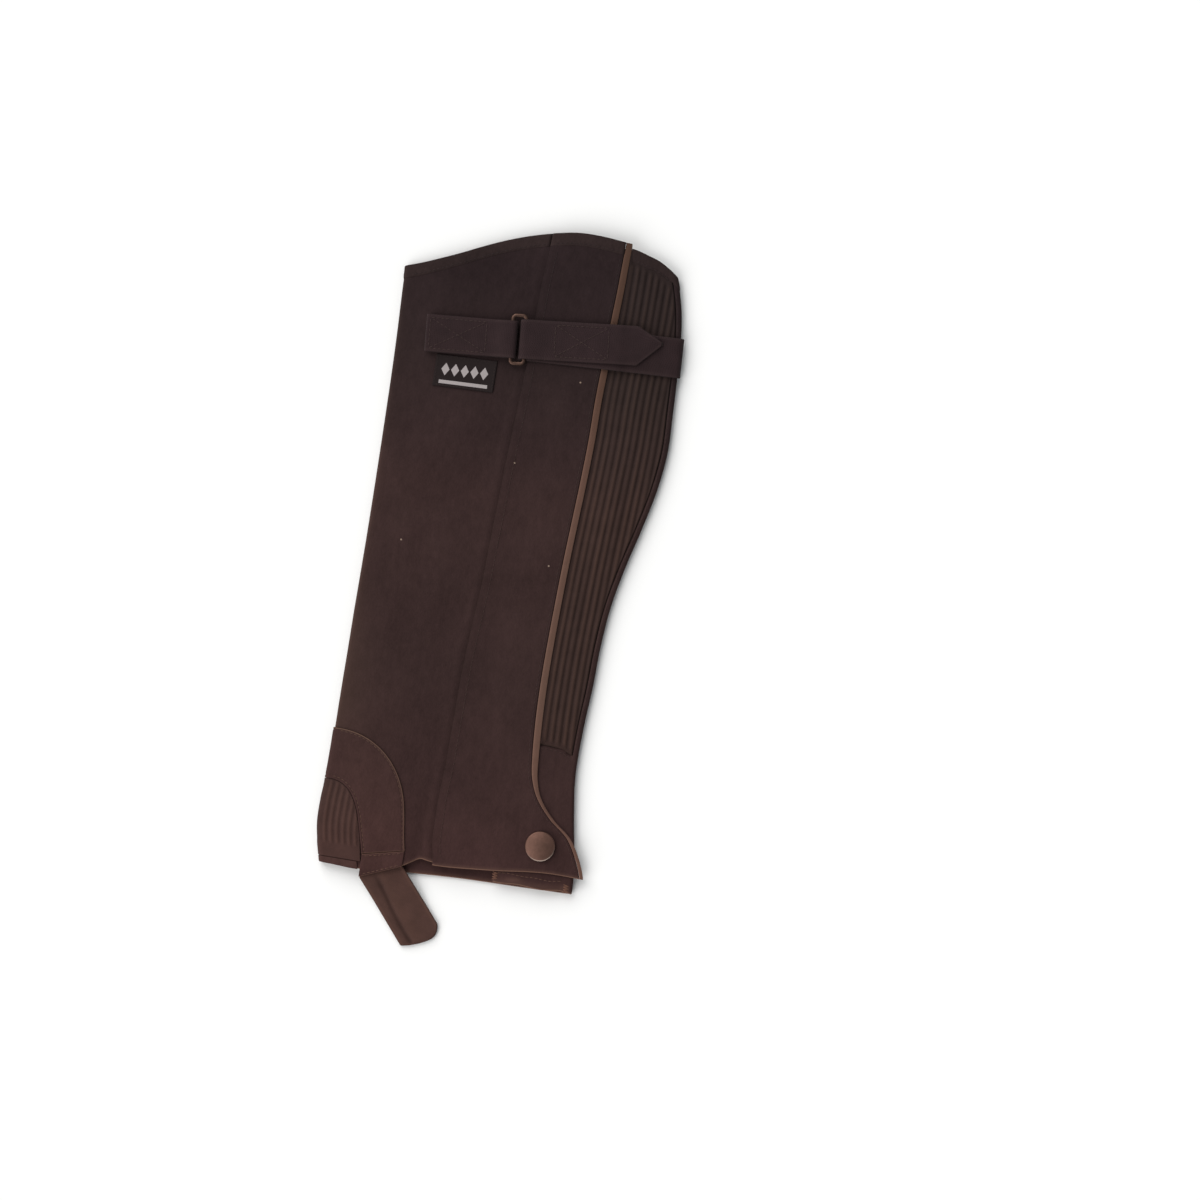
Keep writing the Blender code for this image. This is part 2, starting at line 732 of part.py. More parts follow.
def ribbon(name, surface, stations, thick, closed=False):
    """A strap through stations (middle, half, facing): its width runs along half."""
    rings = []
    for middle, half, facing in stations:
        up = facing * (thick / 2)
        rings.append([middle - half - up, middle + half - up, middle + half + up, middle - half + up])
    return loft(name, surface, rings, closed)


def strap_stations(profile, plan, width):
    """Stations from a side profile of (along, height) points laid along a plan line."""
    stations = []
    for k, (along, height) in enumerate(profile):
        before, after = profile[max(k - 1, 0)], profile[min(k + 1, len(profile) - 1)]
        run, rise = after[0] - before[0], after[1] - before[1]
        length = math.hypot(run, rise)
        place, ahead = plan(along)
        side = Vector((-ahead.y, ahead.x, 0))
        facing = Vector((-ahead.x * rise / length, -ahead.y * rise / length, run / length))
        stations.append((Vector((place.x, place.y, height)), side * (width / 2), facing))
    return stations


def straight_plan(start, end):
    """A plan line whose places across run from start to end."""
    ahead = (Vector((*end, 0)) - Vector((*start, 0))).normalized()
    return lambda across: (Vector((*start, 0)) + ahead * ((across - start[0]) / ahead.x), ahead)


def loop_turn(middle, way, count=6):
    """A half turn from above to below a bar, as (along, height above the panel) points."""
    return [(middle + way * TURN_ACROSS * math.sin(math.pi * k / count),
             BAR_MIDDLE + TURN_UP * math.cos(math.pi * k / count)) for k in range(count + 1)]


def strap_ring():
    """A rectangular wire ring, its two long bars across the strap."""
    half_short = (RIGHT_BAR - LEFT_BAR) / 2
    right = Vector((math.cos(RING_SKEW), math.sin(RING_SKEW), 0))
    up = Vector((-right.y, right.x, 0))
    middle = RING_MIDDLE + Vector((0, 0, PANEL_TOP + BAR_MIDDLE))
    rings = []
    for sign_x, sign_y, turn in ((1, 1, 0), (-1, 1, 90), (-1, -1, 180), (1, -1, 270)):
        for step in (0, 30, 60, 90):
            angle = math.radians(turn + step)
            side = right * math.cos(angle) + up * math.sin(angle)
            corner = right * (sign_x * (half_short - RING_CORNER))
            corner += up * (sign_y * (RING_HALF_LONG - RING_CORNER))
            ring = []
            for wire in (math.radians(45 * k) for k in range(8)):
                reach = RING_CORNER + RING_WIRE / 2 * math.cos(wire)
                ring.append(middle + corner + side * reach + Vector((0, 0, RING_THICK / 2 * math.sin(wire))))
            rings.append(ring)
    loft("strap_ring", "metal", rings, closed=True)


def strap_tab():
    """Doubled webbing, sewn to the panel, whose loop holds the ring."""
    profile = [(16.4, TAB_HIGH), (40, TAB_HIGH), (56, TAB_HIGH), (61, TAB_HIGH + 0.6)]
    profile.append((66, UPPER_PLY - 0.5))
    profile += loop_turn(LEFT_BAR, 1)
    profile += [(66, LOWER_PLY - 0.3), (61, TAB_LOW), (40, TAB_LOW), (18.4, TAB_LOW)]
    profile = [(along, PANEL_TOP + height) for along, height in profile]
    ribbon("strap_tab", "webbing", strap_stations(profile, straight_plan(*TAB_LINE), TAB_WIDTH), WEBBING)


def strap_over(rows, ply):
    """Side profile of a ply of the calf strap, as (across, height) points."""
    floors = {"flap": FLAP_TOP, "piping": PIPING_TOP, "ribs": RIB_HEIGHT}
    profile = []
    for row in rows:
        floor = outer_face(row.across, STRAP_LEVEL) + floors[row.on] + STACK_GAP
        profile.append((row.across, floor + WEBBING / 2 + ply * (WEBBING + GAP) + row.above))
    return profile


def calf_strap():
    """Webbing from the calf edge, over the flap, round the ring's bar and back, with a pointed tip."""
    upper = [(84, PANEL_TOP + UPPER_PLY - 0.2)] + strap_over(STRAP_UPPER, 1)
    turn = [(along, PANEL_TOP + height) for along, height in loop_turn(RIGHT_BAR, -1)]
    radius = FOLD_RADIUS + STACK_GAP + WEBBING / 2 + GAP
    fold = []
    for angle in (math.radians(degrees) for degrees in (10, 35, 60, 85)):
        fold.append((calf(STRAP_LEVEL) - FOLD_RADIUS + radius * math.sin(angle),
                     REST + FOLD_RADIUS + radius * math.cos(angle)))
    line = upper[::-1] + turn + strap_over(STRAP_LOWER, 0) + fold
    bend = len(upper) + len(turn) // 2
    stations = strap_stations(line, straight_plan(*STRAP_HIGH_LINE), STRAP_WIDTH)[:bend]
    stations += strap_stations(line, straight_plan(*STRAP_LOW_LINE), STRAP_WIDTH)[bend:]
    for k, taper in enumerate(STRAP_TIP):
        middle, side, facing = stations[k]
        stations[k] = (middle + Vector((0, taper.rise, 0)), side * taper.share, facing)
    ribbon("calf_strap", "webbing", stations, WEBBING)


def foot_strap():
    """Elastic strap under the foot: both its ends go in at the hem, its loop is pressed flat."""
    half = FOOT_THICK / 2
    turn = GAP / 2 + half
    inside_low = REST + WALL + GAP + half
    inside_high = inside_low + FOOT_THICK + GAP
    reach = curve(FOOT_LOOP)
    over, under = [], []

    def straight_row(share, way, inside, flat):
        """A row across one ply, whose outer face looks up (way 1) or down (way -1)."""
        row = [], []
        for lane in FOOT_LANES:
            spot = FOOT_START + FOOT_SIDE * lane
            if share is None:
                spot.y = FOOT_INSIDE.height + FOOT_INSIDE_SLOPE * (spot.x - FOOT_INSIDE.across)
            else:
                spot += FOOT_ALONG * ((reach(lane) - FOOT_THICK - GAP) * share)
            outside = hem_under(spot.x) - spot.y
            settled = ease((outside - FOOT_SETTLE[0]) / (FOOT_SETTLE[1] - FOOT_SETTLE[0]))
            height = inside + (flat - inside) * settled
            for line, out in zip(row, (way, -way)):
                line.append(Vector((spot.x, spot.y, height + out * half)))
        return row

    def turn_row(angle):
        """A row across the loop's end, at an angle round its turn."""
        row = [], []
        for lane in FOOT_LANES:
            for line, radius in zip(row, (turn + half, turn - half)):
                distance = reach(lane) - FOOT_THICK - GAP + radius * math.cos(angle)
                spot = FOOT_START + FOOT_SIDE * lane + FOOT_ALONG * distance
                line.append(Vector((spot.x, spot.y, half + turn + radius * math.sin(angle))))
        return row

    shares = [None] + steps(9)
    rows = [straight_row(share, 1, inside_high, half + 2 * turn) for share in shares]
    rows += [turn_row(math.radians(degrees)) for degrees in (60, 30, 0, -30, -60)]
    rows += [straight_row(share, -1, inside_low, half) for share in reversed(shares)]
    for row in rows:
        over.append(row[0])
        under.append(row[1])
    shell("foot_strap", "elastic", over, under)


def label():
    """A small woven label below the strap's tab."""
    outer, inner = [], []
    for share in steps(2):
        over, below = [], []
        for along in steps(5):
            u = LABEL_CORNER[0] + LABEL_WIDTH * along
            v = LABEL_CORNER[1] + LABEL_RISE * along + LABEL_HEIGHT * share
            base = Vector((u, v, outer_face(u, v) + GAP))
            over.append(base + Vector((0, 0, LABEL_THICK)))
            below.append(base)
        outer.append(over)
        inner.append(below)
    shell("label", "label", outer, inner)


def turned_rings(place, base, profile, count):
    """The side profile of a round piece, at angles round its middle."""
    rings = []
    for angle in (2 * math.pi * k / count for k in range(count)):
        out = Vector((math.cos(angle), math.sin(angle), 0))
        rings.append([Vector((*place, base + turn.height)) + out * turn.radius for turn in profile])
    return rings


def snap_cap():
    """The snap's domed cap on the flap's tab."""
    base = outer_face(*SNAP_PLACE) + FLAP_TOP + GAP
    shape = bmesh.new()
    foot = shape.verts.new((*SNAP_PLACE, base + SNAP_CAP[0].height))
    top = shape.verts.new((*SNAP_PLACE, base + SNAP_CAP[-1].height))
    rings = turned_rings(SNAP_PLACE, base, SNAP_CAP, 32)
    loops = [[shape.verts.new(point) for point in ring] for ring in rings]
    for first, second in zip(loops, loops[1:] + loops[:1]):
        for a, b, c, d in zip(first, first[1:], second, second[1:]):
            shape.faces.new((a, b, d, c))
        shape.faces.new((first[-1], second[-1], top))
        shape.faces.new((first[0], second[0], foot))
    add_mesh("snap_cap", shape, "metal")


def snap_back():
    """A small brass ring inside the mouth, below the inner face of the outer wall."""
    face = outer_face(*SNAP_BACK_PLACE) - WALL - GAP
    loft("snap_back", "brass", turned_rings(SNAP_BACK_PLACE, face, SNAP_BACK, 24), closed=True)


def grip_patch():
    """Suede reinforcement on the inner side, above the calf."""
    outer, inner = [], []
    for share in steps(12):
        over, below = [], []
        v_mid = GRIP_FOOT + (GRIP_HEAD - GRIP_FOOT) * share
        left = front(v_mid) + GRIP_FRONT
        right = calf(v_mid) - GRIP_INSET
        for along in steps(8):
            u = left + (right - left) * along
            corner = max(0.0, 1 - (right - u) / GRIP_CORNER)
            low = GRIP_FOOT + GRIP_CORNER * (1 - math.sqrt(1 - corner * corner))
            high = mouth_under(u) - BAND_WIDTH - GAP
            v = low + (high - low) * share
            over.append(Vector((u, v, 0)))
            below.append(Vector((u, v, BINDING)))
        outer.append(over)
        inner.append(below)
    shell("grip_patch", "suede", outer, inner)


def zip_bar(name, surface, half, low_face, high_face, places):
    """A flat bar along the zip, between two heights measured from the outer wall's outer face."""
    rings = []
    for v in places:
        u = zip_line(v)
        z = outer_face(u, v)
        corners = ((-half, low_face), (half, low_face), (half, high_face), (-half, high_face))
        rings.append([Vector((u + across, v, z + height)) for across, height in corners])
    loft(name, surface, rings)


def zip_offset(off):
    return lambda v: zip_line(v) + off


def zip_tape(name, way):
    """One of the zip's two tapes, inside the panel's cut edge."""
    lines = between(zip_offset(way * (CHAIN_HALF + GAP)), zip_offset(way * ZIP_TAPE), steps(2))
    outer = [[top_column(line).point(v, -WALL - GAP) for line in lines] for v in ZIP_LADDER]
    inner = [[point - Vector((0, 0, ZIP_TAPE_THICK)) for point in row] for row in outer]
    shell(name, "tape", outer, inner)


def zip_pieces():
    """The zip under the flap: tapes inside the panels, a chain, a slider and its pull."""
    zip_tape("zip_tape_left", -1)
    zip_tape("zip_tape_right", 1)
    zip_bar("zip_chain", "brass", CHAIN_HALF, -WALL - CHAIN_DEPTH, -WALL, ZIP_LADDER)
    low_face = GAP - WALL
    high_face = low_face + PULL_THICK
    slider_top = ZIP_HEAD.height - SLIDER_DROP
    slider_foot = slider_top - SLIDER_LONG
    pull_top = slider_foot - STACK_GAP
    slider_places = spread(slider_foot, slider_top, steps(2))
    pull_places = spread(pull_top - PULL_LONG, pull_top, steps(2))
    zip_bar("zip_slider", "metal", SLIDER_HALF, low_face, high_face, slider_places)
    zip_bar("zip_pull", "metal", PULL_HALF, low_face, high_face, pull_places)


def settle_origin():
    """Put the origin below the middle of the whole half chap."""
    pieces = [piece for piece in bpy.context.scene.objects if piece.type == "MESH"]
    points = [vert.co for piece in pieces for vert in piece.data.vertices]
    middle = [(min(p[axis] for p in points) + max(p[axis] for p in points)) / 2 for axis in (0, 1)]
    lowest = min(p[2] for p in points)
    frame = bpy.data.objects.new("half_chap", None)
    frame.location = (-middle[0], -middle[1], -lowest)
    bpy.context.scene.collection.objects.link(frame)
    for piece in pieces:
        piece.parent = frame


def main():
    for item in list(bpy.data.objects):
        bpy.data.objects.remove(item, do_unlink=True)
    material("suede", (0.044, 0.026, 0.026), 0.95)
    material("binding", (0.046, 0.028, 0.024), 0.9)
    material("elastic", (0.040, 0.024, 0.022), 0.85)
    material("webbing", (0.034, 0.020, 0.022), 0.8)
    material("piping", (0.19, 0.13, 0.09), 0.8)
    material("label", (0.012, 0.010, 0.011), 0.6)
    material("tape", (0.03, 0.02, 0.02), 0.85)
    material("metal", (0.14, 0.08, 0.06), 0.35, 1.0)
    material("brass", (0.55, 0.40, 0.22), 0.3, 1.0)
    main_panel()
    calf_panel()
    elastic_panel()
    flap()
    piping()
    mouth_bindings()
    gusset_patch()
    gusset_elastic()
    gusset_hem()
    foot_tab("foot_tab_outer", top_column, FOOT_TAB_DROP)
    foot_tab("foot_tab_inner", under_column, 0.0)
    foot_strap()
    strap_tab()
    strap_ring()
    calf_strap()
    label()
    snap_cap()
    snap_back()
    grip_patch()
    zip_pieces()
    settle_origin()
    bpy.context.view_layer.update()


main()
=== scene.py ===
"""Looks of a half chap laid flat: napped suede, ribbed elastic, webbing, thread and metal.

Sizes are in millimetres until a mesh is made. u runs across the leg from the shin edge to the
calf edge, v runs up the leg from the hem, and z is the height above the floor. Every piece is
worked out from the same skin as the solids: its outer side, its folds and its inner side.
"""

import math
from collections import namedtuple

import bmesh
import bpy
import numpy as np
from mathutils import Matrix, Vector


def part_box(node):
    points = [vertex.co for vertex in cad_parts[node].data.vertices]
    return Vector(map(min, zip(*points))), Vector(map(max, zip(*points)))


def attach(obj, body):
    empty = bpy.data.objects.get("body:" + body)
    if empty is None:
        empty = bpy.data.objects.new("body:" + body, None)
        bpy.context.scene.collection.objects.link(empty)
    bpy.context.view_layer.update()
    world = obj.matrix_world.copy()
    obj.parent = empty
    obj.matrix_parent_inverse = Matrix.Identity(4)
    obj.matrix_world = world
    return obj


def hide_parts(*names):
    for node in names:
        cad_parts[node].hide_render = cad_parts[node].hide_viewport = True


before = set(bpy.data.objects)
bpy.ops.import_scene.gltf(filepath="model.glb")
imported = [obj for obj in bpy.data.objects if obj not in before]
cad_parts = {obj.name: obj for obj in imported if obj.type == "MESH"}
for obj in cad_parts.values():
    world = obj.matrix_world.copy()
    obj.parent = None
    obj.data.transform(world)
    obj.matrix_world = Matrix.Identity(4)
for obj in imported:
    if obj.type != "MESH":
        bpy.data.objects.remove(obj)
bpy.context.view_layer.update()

MM = 0.001
WALL, BINDING, WEBBING = 1.6, 0.8, 1.3
GAP, STACK_GAP, SLIT = 0.3, 0.4, 0.06
REST = GAP + BINDING
FOLD_RADIUS = 2.3
CROWN, CROWN_WIDTH = 2.0, 25.0
PANEL_TOP = REST + 2 * FOLD_RADIUS + CROWN
FLAP_TOP = GAP + WALL
PIPING_TOP = FLAP_TOP + 0.3

# Radii of the rounded edges: the flap's roll, seams, cut suede, thin cloth and the finest
FLAP_RIM, SEAM_RIM, EDGE_RIM, THIN_RIM, FINE_RIM = 2.2, 1.2, 0.8, 0.6, 0.4
NEAR = (0.0, 0.07, 0.25, 0.5, 0.78)     # places within a rim, as shares of its radius
LOW_START, FOOT_LEVEL, MIDDLE_LEVEL, HIGH_START = 5.0, 95.0, 200.0, 410.0
MEET_ROUNDS = 14


def table(columns, *rows):
    """A table with named columns."""
    row = namedtuple("row", columns)
    return [row(*values) for values in rows]


def line(columns, *points):
    """A smooth function from one named column of its points to the other, that holds its end values."""
    places, values = np.array(table(columns, *points), float).T
    slopes = np.gradient(values, places, edge_order=1)
    slopes[1:-1] = (values[2:] - values[:-2]) / (places[2:] - places[:-2])

    def value(place):
        place = np.clip(place, places[0], places[-1])
        k = np.clip(np.searchsorted(places, place, side="right") - 1, 0, len(places) - 2)
        span = places[k + 1] - places[k]
        rise = values[k + 1] - values[k]
        t = (place - places[k]) / span
        bend_in = slopes[k] * span - rise
        bend_out = rise - slopes[k + 1] * span
        return values[k] + rise * t + t * (1 - t) * (bend_in * (1 - t) + bend_out * t)

    return value


# A row for each section across the leg: shin edge, flap seam, flap's free edge, room for its
# piping, and calf edge
SECTIONS = table(
    "height front seam edge piping calf",
    (0, 2.5, 74.5, 171.0, 2.4, 165.0),
    (14, -1.0, 73.0, 168.5, 2.4, 164.5),
    (26, -3.0, 71.0, 164.2, 2.4, 163.3),
    (40, -3.1, 70.8, 155.8, 2.5, 160.9),
    (50, -2.5, 70.6, 143.7, 2.4, 159.2),
    (62, -2.0, 71.2, 133.6, 2.6, 157.4),
    (74, -1.8, 71.9, 128.3, 3.5, 155.9),
    (86, -1.8, 72.1, 126.3, 4.1, 155.2),
    (112, -1.8, 72.5, 124.5, 4.8, 155.8),
    (138, -1.6, 73.1, 124.0, 5.1, 157.5),
    (164, -1.5, 74.6, 124.4, 5.1, 158.4),
    (190, -1.2, 76.5, 125.2, 5.2, 160.8),
    (216, -1.0, 77.5, 126.2, 5.2, 165.9),
    (242, -1.0, 78.6, 127.6, 5.1, 172.5),
    (268, -1.1, 79.6, 129.0, 5.1, 178.3),
    (294, -1.3, 80.9, 130.0, 5.2, 181.4),
    (320, -1.6, 82.4, 130.2, 5.2, 180.8),
    (346, -2.2, 83.3, 131.2, 5.0, 179.8),
    (372, -3.1, 84.1, 132.3, 4.8, 178.0),
    (390, -3.4, 84.8, 133.2, 4.2, 174.9),
    (406, -3.6, 85.9, 133.7, 3.8, 169.9),
    (424, -3.6, 87.2, 134.3, 3.0, 161.0),
)
front, seam, flap_edge, piping_room, calf = (
    line("height " + name, *((row.height, getattr(row, name)) for row in SECTIONS))
    for name in ("front", "seam", "edge", "piping", "calf"))

# Cut edges
mouth_outer = line("across height", (-3.5, 386.3), (5.7, 389.4), (15.5, 393.2), (30, 399.4), (44.5, 406.2),
                   (59, 412.4), (74, 417.6), (88.7, 421.4), (104, 424), (119.5, 424), (138, 422.2))
mouth_elastic = line("across height", (104, 420.5), (139, 419.4), (150.5, 416.5), (157.3, 414.3),
                     (164.4, 410.3), (170, 406.3))
mouth_under = line("across height", (-3.5, 386.3), (8, 389.8), (22, 395), (45, 400), (90, 402.5), (140, 404),
                   (170, 406.3))
hem_panel = line("across height", (0, 0.9), (9, 0.6), (27, 0), (40, 2), (55, 6.2), (60, 9.2), (65.4, 12.3),
                 (70, 11.8), (76, 11.3), (104, 14))
hem_flap = line("across height", (73, 9.7), (82, 9.8), (98, 11), (117, 12.7), (136, 15), (150, 15.8),
                (171, 15.2))
hem_calf = line("across height", (108, 6), (117, 5), (130, 5.6), (145, 4.6), (157, 5.8), (165, 4.6))
hem_under = line("across height", (0, 0.9), (27, 0), (60, 2), (95, 3.6), (130, 4), (165, 4.6))
elastic_foot = line("across height", (104, 97), (130, 96.5), (144, 95.4), (150, 92.8), (157, 92))

# The inner seam's distance from the calf edge, and the width of the piping's rounded form
seam_inset = line("height inset", (5, 22), (44, 26), (95, 33), (148, 37), (208, 29), (282, 29), (356, 25),
                  (406, 23))
piping_form = line("height width", (0, 2.5), (50, 2.5), (62, 2.7), (74, 3.6), (86, 4.2), (112, 4.5),
                   (164, 4.3), (216, 4.2), (294, 4.2), (335, 4.4), (372, 4.4), (400, 4.3), (424, 4.2))

Spot = namedtuple("Spot", "across height")
ZIP_FOOT, ZIP_HEAD = Spot(109, 8), Spot(106, 416)
ZIP_OPENING, ZIP_TAPE, ZIP_TAPE_THICK, ZIP_SIDE_TOP = 4.5, 11.0, 0.7, 419.7
TAPE_RIM, CHAIN_HALF, CHAIN_DEPTH = 0.3, 2.2, 1.6
TOOTH_PITCH, TOOTH_LONG, TOOTH_HALF, TOOTH_OFF, TOOTH_TAPER = 1.5, 2.6, 0.32, 0.7, 0.12
SLIDER_LONG, SLIDER_HALF, PULL_LONG, PULL_HALF = 11.0, 3.8, 22.6, 1.8
TAPE_FOOT, TAPE_HEAD, SLIDER_DROP, SLIDER_ENDS = 5, 1, 4.0, 0.55
SLIDER_SECTION = ((-1, 0.15), (-0.9, 0), (0.9, 0), (1, 0.15), (1, 0.75), (0.9, 0.9), (-0.9, 0.9), (-1, 0.75))

RIB_PITCH, RIB_HEIGHT, RIBS, RIB_START = 4.3, 0.8, 12, 0.4
STEPS_PER_RIB = 10
RIB_RELIEF, RIB_DROP, RIB_SHARP = 0.68, 0.3, 1.4
RIB_END_RUN, RIB_SIDE_RUN, RIB_FOOT_OFF, RIB_HEAD_OFF = 2.5, 1.4, 2.0, 0.5
# Waves that run up the ribs and differ from rib to rib, in their height and in their wear
RIB_UNEVEN = table("swing up each phase", (0.12, 0.09, 2.4, 0), (0.08, 0.31, 1, 0))
RIB_WEAR = table("swing up each phase", (0.3, 0, 2.1, 0.8), (0.12, 0.05, 1, 0))
# The ribs' crests are worn paler, unevenly; their grooves get painted shade
RIB_WORN, RIB_CREST_TONE, RIB_GROOVE_SHADE = 0.62, 1.3, 0.3
ELASTIC_INSET = 4.0
BAND_WIDTH, BAND_THICK = 8.5, 0.35
# A binding's section: each point's height from its top, its foot or its cap, how far it stands off the
# inner face, the band's outer face or the cloth's face, and whether it goes with the pucker
BINDING_SECTION = table(
    "end rise side off puckered",
    ("top", -0.5, "inner", 0, 0), ("top", 0, "inner", 0.5, 0), ("top", 0, "outer", -0.75, 0),
    ("top", -0.25, "outer", -0.3, 0), ("top", -0.8, "outer", -0.08, 0), ("top", -2.6, "outer", -0.02, 1),
    ("foot", 3.4, "outer", -0.06, 1), ("foot", 2.4, "outer", -0.14, 0), ("foot", 1.7, "outer", -0.26, 0),
    ("foot", 1.2, "outer", -0.24, 0), ("foot", 0.6, "outer", -0.36, 0), ("foot", 0.2, "outer", -0.50, 0),
    ("foot", 0, "outer", -0.60, 0), ("foot", 0.1, "face", -0.28, 0), ("foot", 1.7, "face", -0.28, 0),
    ("cap", 0, "face", 0, 0), ("cap", 0, "inner", 0, 0),
)
PIPING_CUT = 6.4            # width of the folded strip that shows, flattened out
PIPING_SLOPE = 0.45         # share of its thickness that the piping loses to its free side
PIPING_BOX = 0.55           # power of the piping's section, which is squarer than an oval
PIPING_END = 0.86           # share of its size that the piping has at its very ends
PIPING_SIDES, PIPING_ROWS = 16, 330

# Rounded quarters beside the shin edge: the reinforcement and its ribbed inset
Quarter = namedtuple("Quarter", "width height base")
GUSSET, INSET = Quarter(54.0, 71.0, 16.0), Quarter(25.3, 44.0, 10.0)
GUSSET_FLAT = (0.14, 0.075)
QUARTER_POWER = 2.2
INSTEP_PITCH, INSTEP_RIB_FOOT, INSTEP_RELIEF = 4.0, 14.0, 0.51
HEM_BAND, HEM_BAND_WIDTH = 4.5, 22.0
# The inset's ribs get painted light on their tops and painted shade between them, in proportion to their
# height
INSTEP_DROP, INSTEP_PAINTED_SHADING, INSTEP_FOOT_RUN, INSTEP_HEAD_RUN = 0.2, 0.9, 2, 1.5
STITCH_GROOVE = 0.3
GUSSET_EDGE, GUSSET_EDGE_TONE, GUSSET_FOOT_EDGE, GUSSET_FOOT_TONE = 0.02, 0.7, 0.5, 0.4
# Rows of stitches, as shares of the way over the gusset and over the grip patch
GUSSET_OUTER_ROW, GUSSET_INNER_ROW, GUSSET_ROW_WIDTH = 0.955, 0.06, 0.014
GRIP_LEFT_ROW, GRIP_RIGHT_ROW, GRIP_FOOT_ROW = 0.015, 0.985, 0.01

TabEnd = namedtuple("TabEnd", "across low high")
FOOT_TAB = TabEnd(28.2, -5.1, 9.6), TabEnd(54.8, 5.9, 15.6)
FOOT_TAB_DROP, FOOT_TAB_DROP_RUN = 1.9, 6.0
GRIP_INSET, GRIP_FRONT, GRIP_FOOT, GRIP_HEAD, GRIP_CORNER = 39.0, 12.0, 216.0, 386.0, 26.0
GRIP_EDGES = 0.006, 0.004   # rims of the grip patch, as shares of its width and height

# Bar tacks that hold the ends of the calf panel's hem
HEM_TACKS = table("across height width", (114.5, 7.3, 5.0), (160.5, 5.9, 4.6))
TACK_TURNS = 6

Crease = namedtuple("Crease", "across width depth top")
HEM_CREASE = Crease(62.5, 4.5, 1.1, 62.0)
# Rolls beside the flap's seam, on the panel and on the flap, and the elastic's beside the piping
Roll = namedtuple("Roll", "height off width")
RIB_SHOULDER = Roll(0.8, 0.4, 1.3)
PANEL_ROLL, PANEL_ROLL_RUN, FLAP_ROLL = Roll(0.35, -3.0, 2.0), 10, Roll(0.3, 3.0, 2.6)
FOLDS_RUN = 14              # distance from the edges over which the folds come in
STRAP_PRESS, STRAP_PRESS_WIDTH = 0.8, 26

# Painted light and shade on the panels: a change goes from its first value to its last between two heights
Change = namedtuple("Change", "first last start end")
SEAM_GROOVE_SHADE, SEAM_GROOVE_SHADE_WIDTH = Change(0.15, 0.05, 300, 380), 1.6
CREASE_SHADE, CREASE_SHADE_WIDTH = Change(0.2, 0.0, 0, 120), 4.0
SHIN_HIGHLIGHT, SHIN_HIGHLIGHT_REACH = Change(0.16, 0.10, 110, 360), Change(13.0, 2.5, 90, 200)
# Painted shade on the flap beside its seam
FLAP_SEAM_SHADE = Roll(-0.3, 0.3, 1.8)

# The calf panel's hem: waves along it, with their middle, swing, rate and phase
Wave = namedtuple("Wave", "middle swing rate phase")
HEM_ROLL, HEM_ROLL_UP, HEM_ROLL_WIDTH = Wave(0.35, 0.1, 0.42, 0.0), 1.8, 1.6
HEM_TONE, HEM_TONE_UP, HEM_TONE_WIDTH = Wave(0.16, 0.08, 0.35, 1.3), Wave(2.2, 0.4, 0.21, 0.0), 1.4
BINDING_PUCKER = Wave(-0.06, 0.06, 2.1, 0.0)

RING_WIRE, RING_THICK = 2.4, 1.6
RING_MIDDLE, RING_SKEW = Vector((75.7, 350.3, 0)), math.radians(5.0)
RING_HALF_LONG, RING_CORNER = 15.4, 2.4
LEFT_BAR, RIGHT_BAR = 71.4, 80.0
BAR_MIDDLE = 2.7 + RING_THICK / 2
TURN_UP = RING_THICK / 2 + STACK_GAP + WEBBING / 2
TURN_LOOSE = 0.5            # how far the webbing's turns stand off the ring's bars
TURN_ACROSS = RING_WIRE / 2 + 2 * GAP + WEBBING / 2 + TURN_LOOSE
UPPER_PLY, LOWER_PLY = BAR_MIDDLE + TURN_UP, BAR_MIDDLE - TURN_UP
TAB_WIDTH, TAB_LINE = 24.0, ((16.2, 345.6), (63.0, 349.1))
TAB_LOW = GAP + WEBBING / 2
TAB_HIGH = TAB_LOW + WEBBING + GAP
STRAP_WIDTH = 25.4
STRAP_LOW_LINE, STRAP_HIGH_LINE = ((75.0, 350.0), (181.0, 354.8)), ((75.0, 350.6), (150.0, 358.0))
STRAP_LEVEL = 353.0
STRAP_POINT, STRAP_POINT_RISE = 16.0, 2.2
STRAP_STEP = 0.9
# The webbing's raised selvedges, and the tone of their wear
SELVEDGE_ROLL, SELVEDGE_WEAR = Roll(0.12, 1.1, 0.6), Roll(0.55, 0.9, 0.7)
STRAP_LEAST_HALF = 0.05
STRAP_TIP, STRAP_SWING = 0.06, 8        # the tip's share of the width, and steps over which the plies part

# What the calf strap's two plies lie on, and how far above it
STRAP_LOWER = table(
    "across on above", (83, "flap", -0.25), (86, "flap", 0), (100, "flap", 0), (118, "flap", 0),
    (127, "piping", 0), (139.5, "piping", 0), (144.5, "ribs", 0.5), (149, "ribs", 0), (156, "ribs", 0),
    (162, "ribs", 0), (168, "ribs", 0), (173, "ribs", 0),
)
STRAP_UPPER = table(
    "across on above", (92, "flap", 0), (100, "flap", 0), (118, "flap", 0), (127, "piping", 0),
    (139.5, "piping", 0), (146, "ribs", 0.5), (151, "ribs", 0.2), (160, "ribs", 0.2), (167.5, "ribs", 0.2),
)

FOOT_START = np.array((28.8, -5.8))
FOOT_ALONG, FOOT_SIDE = np.array((0.639, -0.769)), np.array((0.769, 0.639))
FOOT_THICK, FOOT_WIDTH = 1.2, 27.5
FOOT_SETTLE = (3.0, 21.0)
FOOT_INSIDE, FOOT_INSIDE_SLOPE = Spot(27.0, 8.5), 0.23
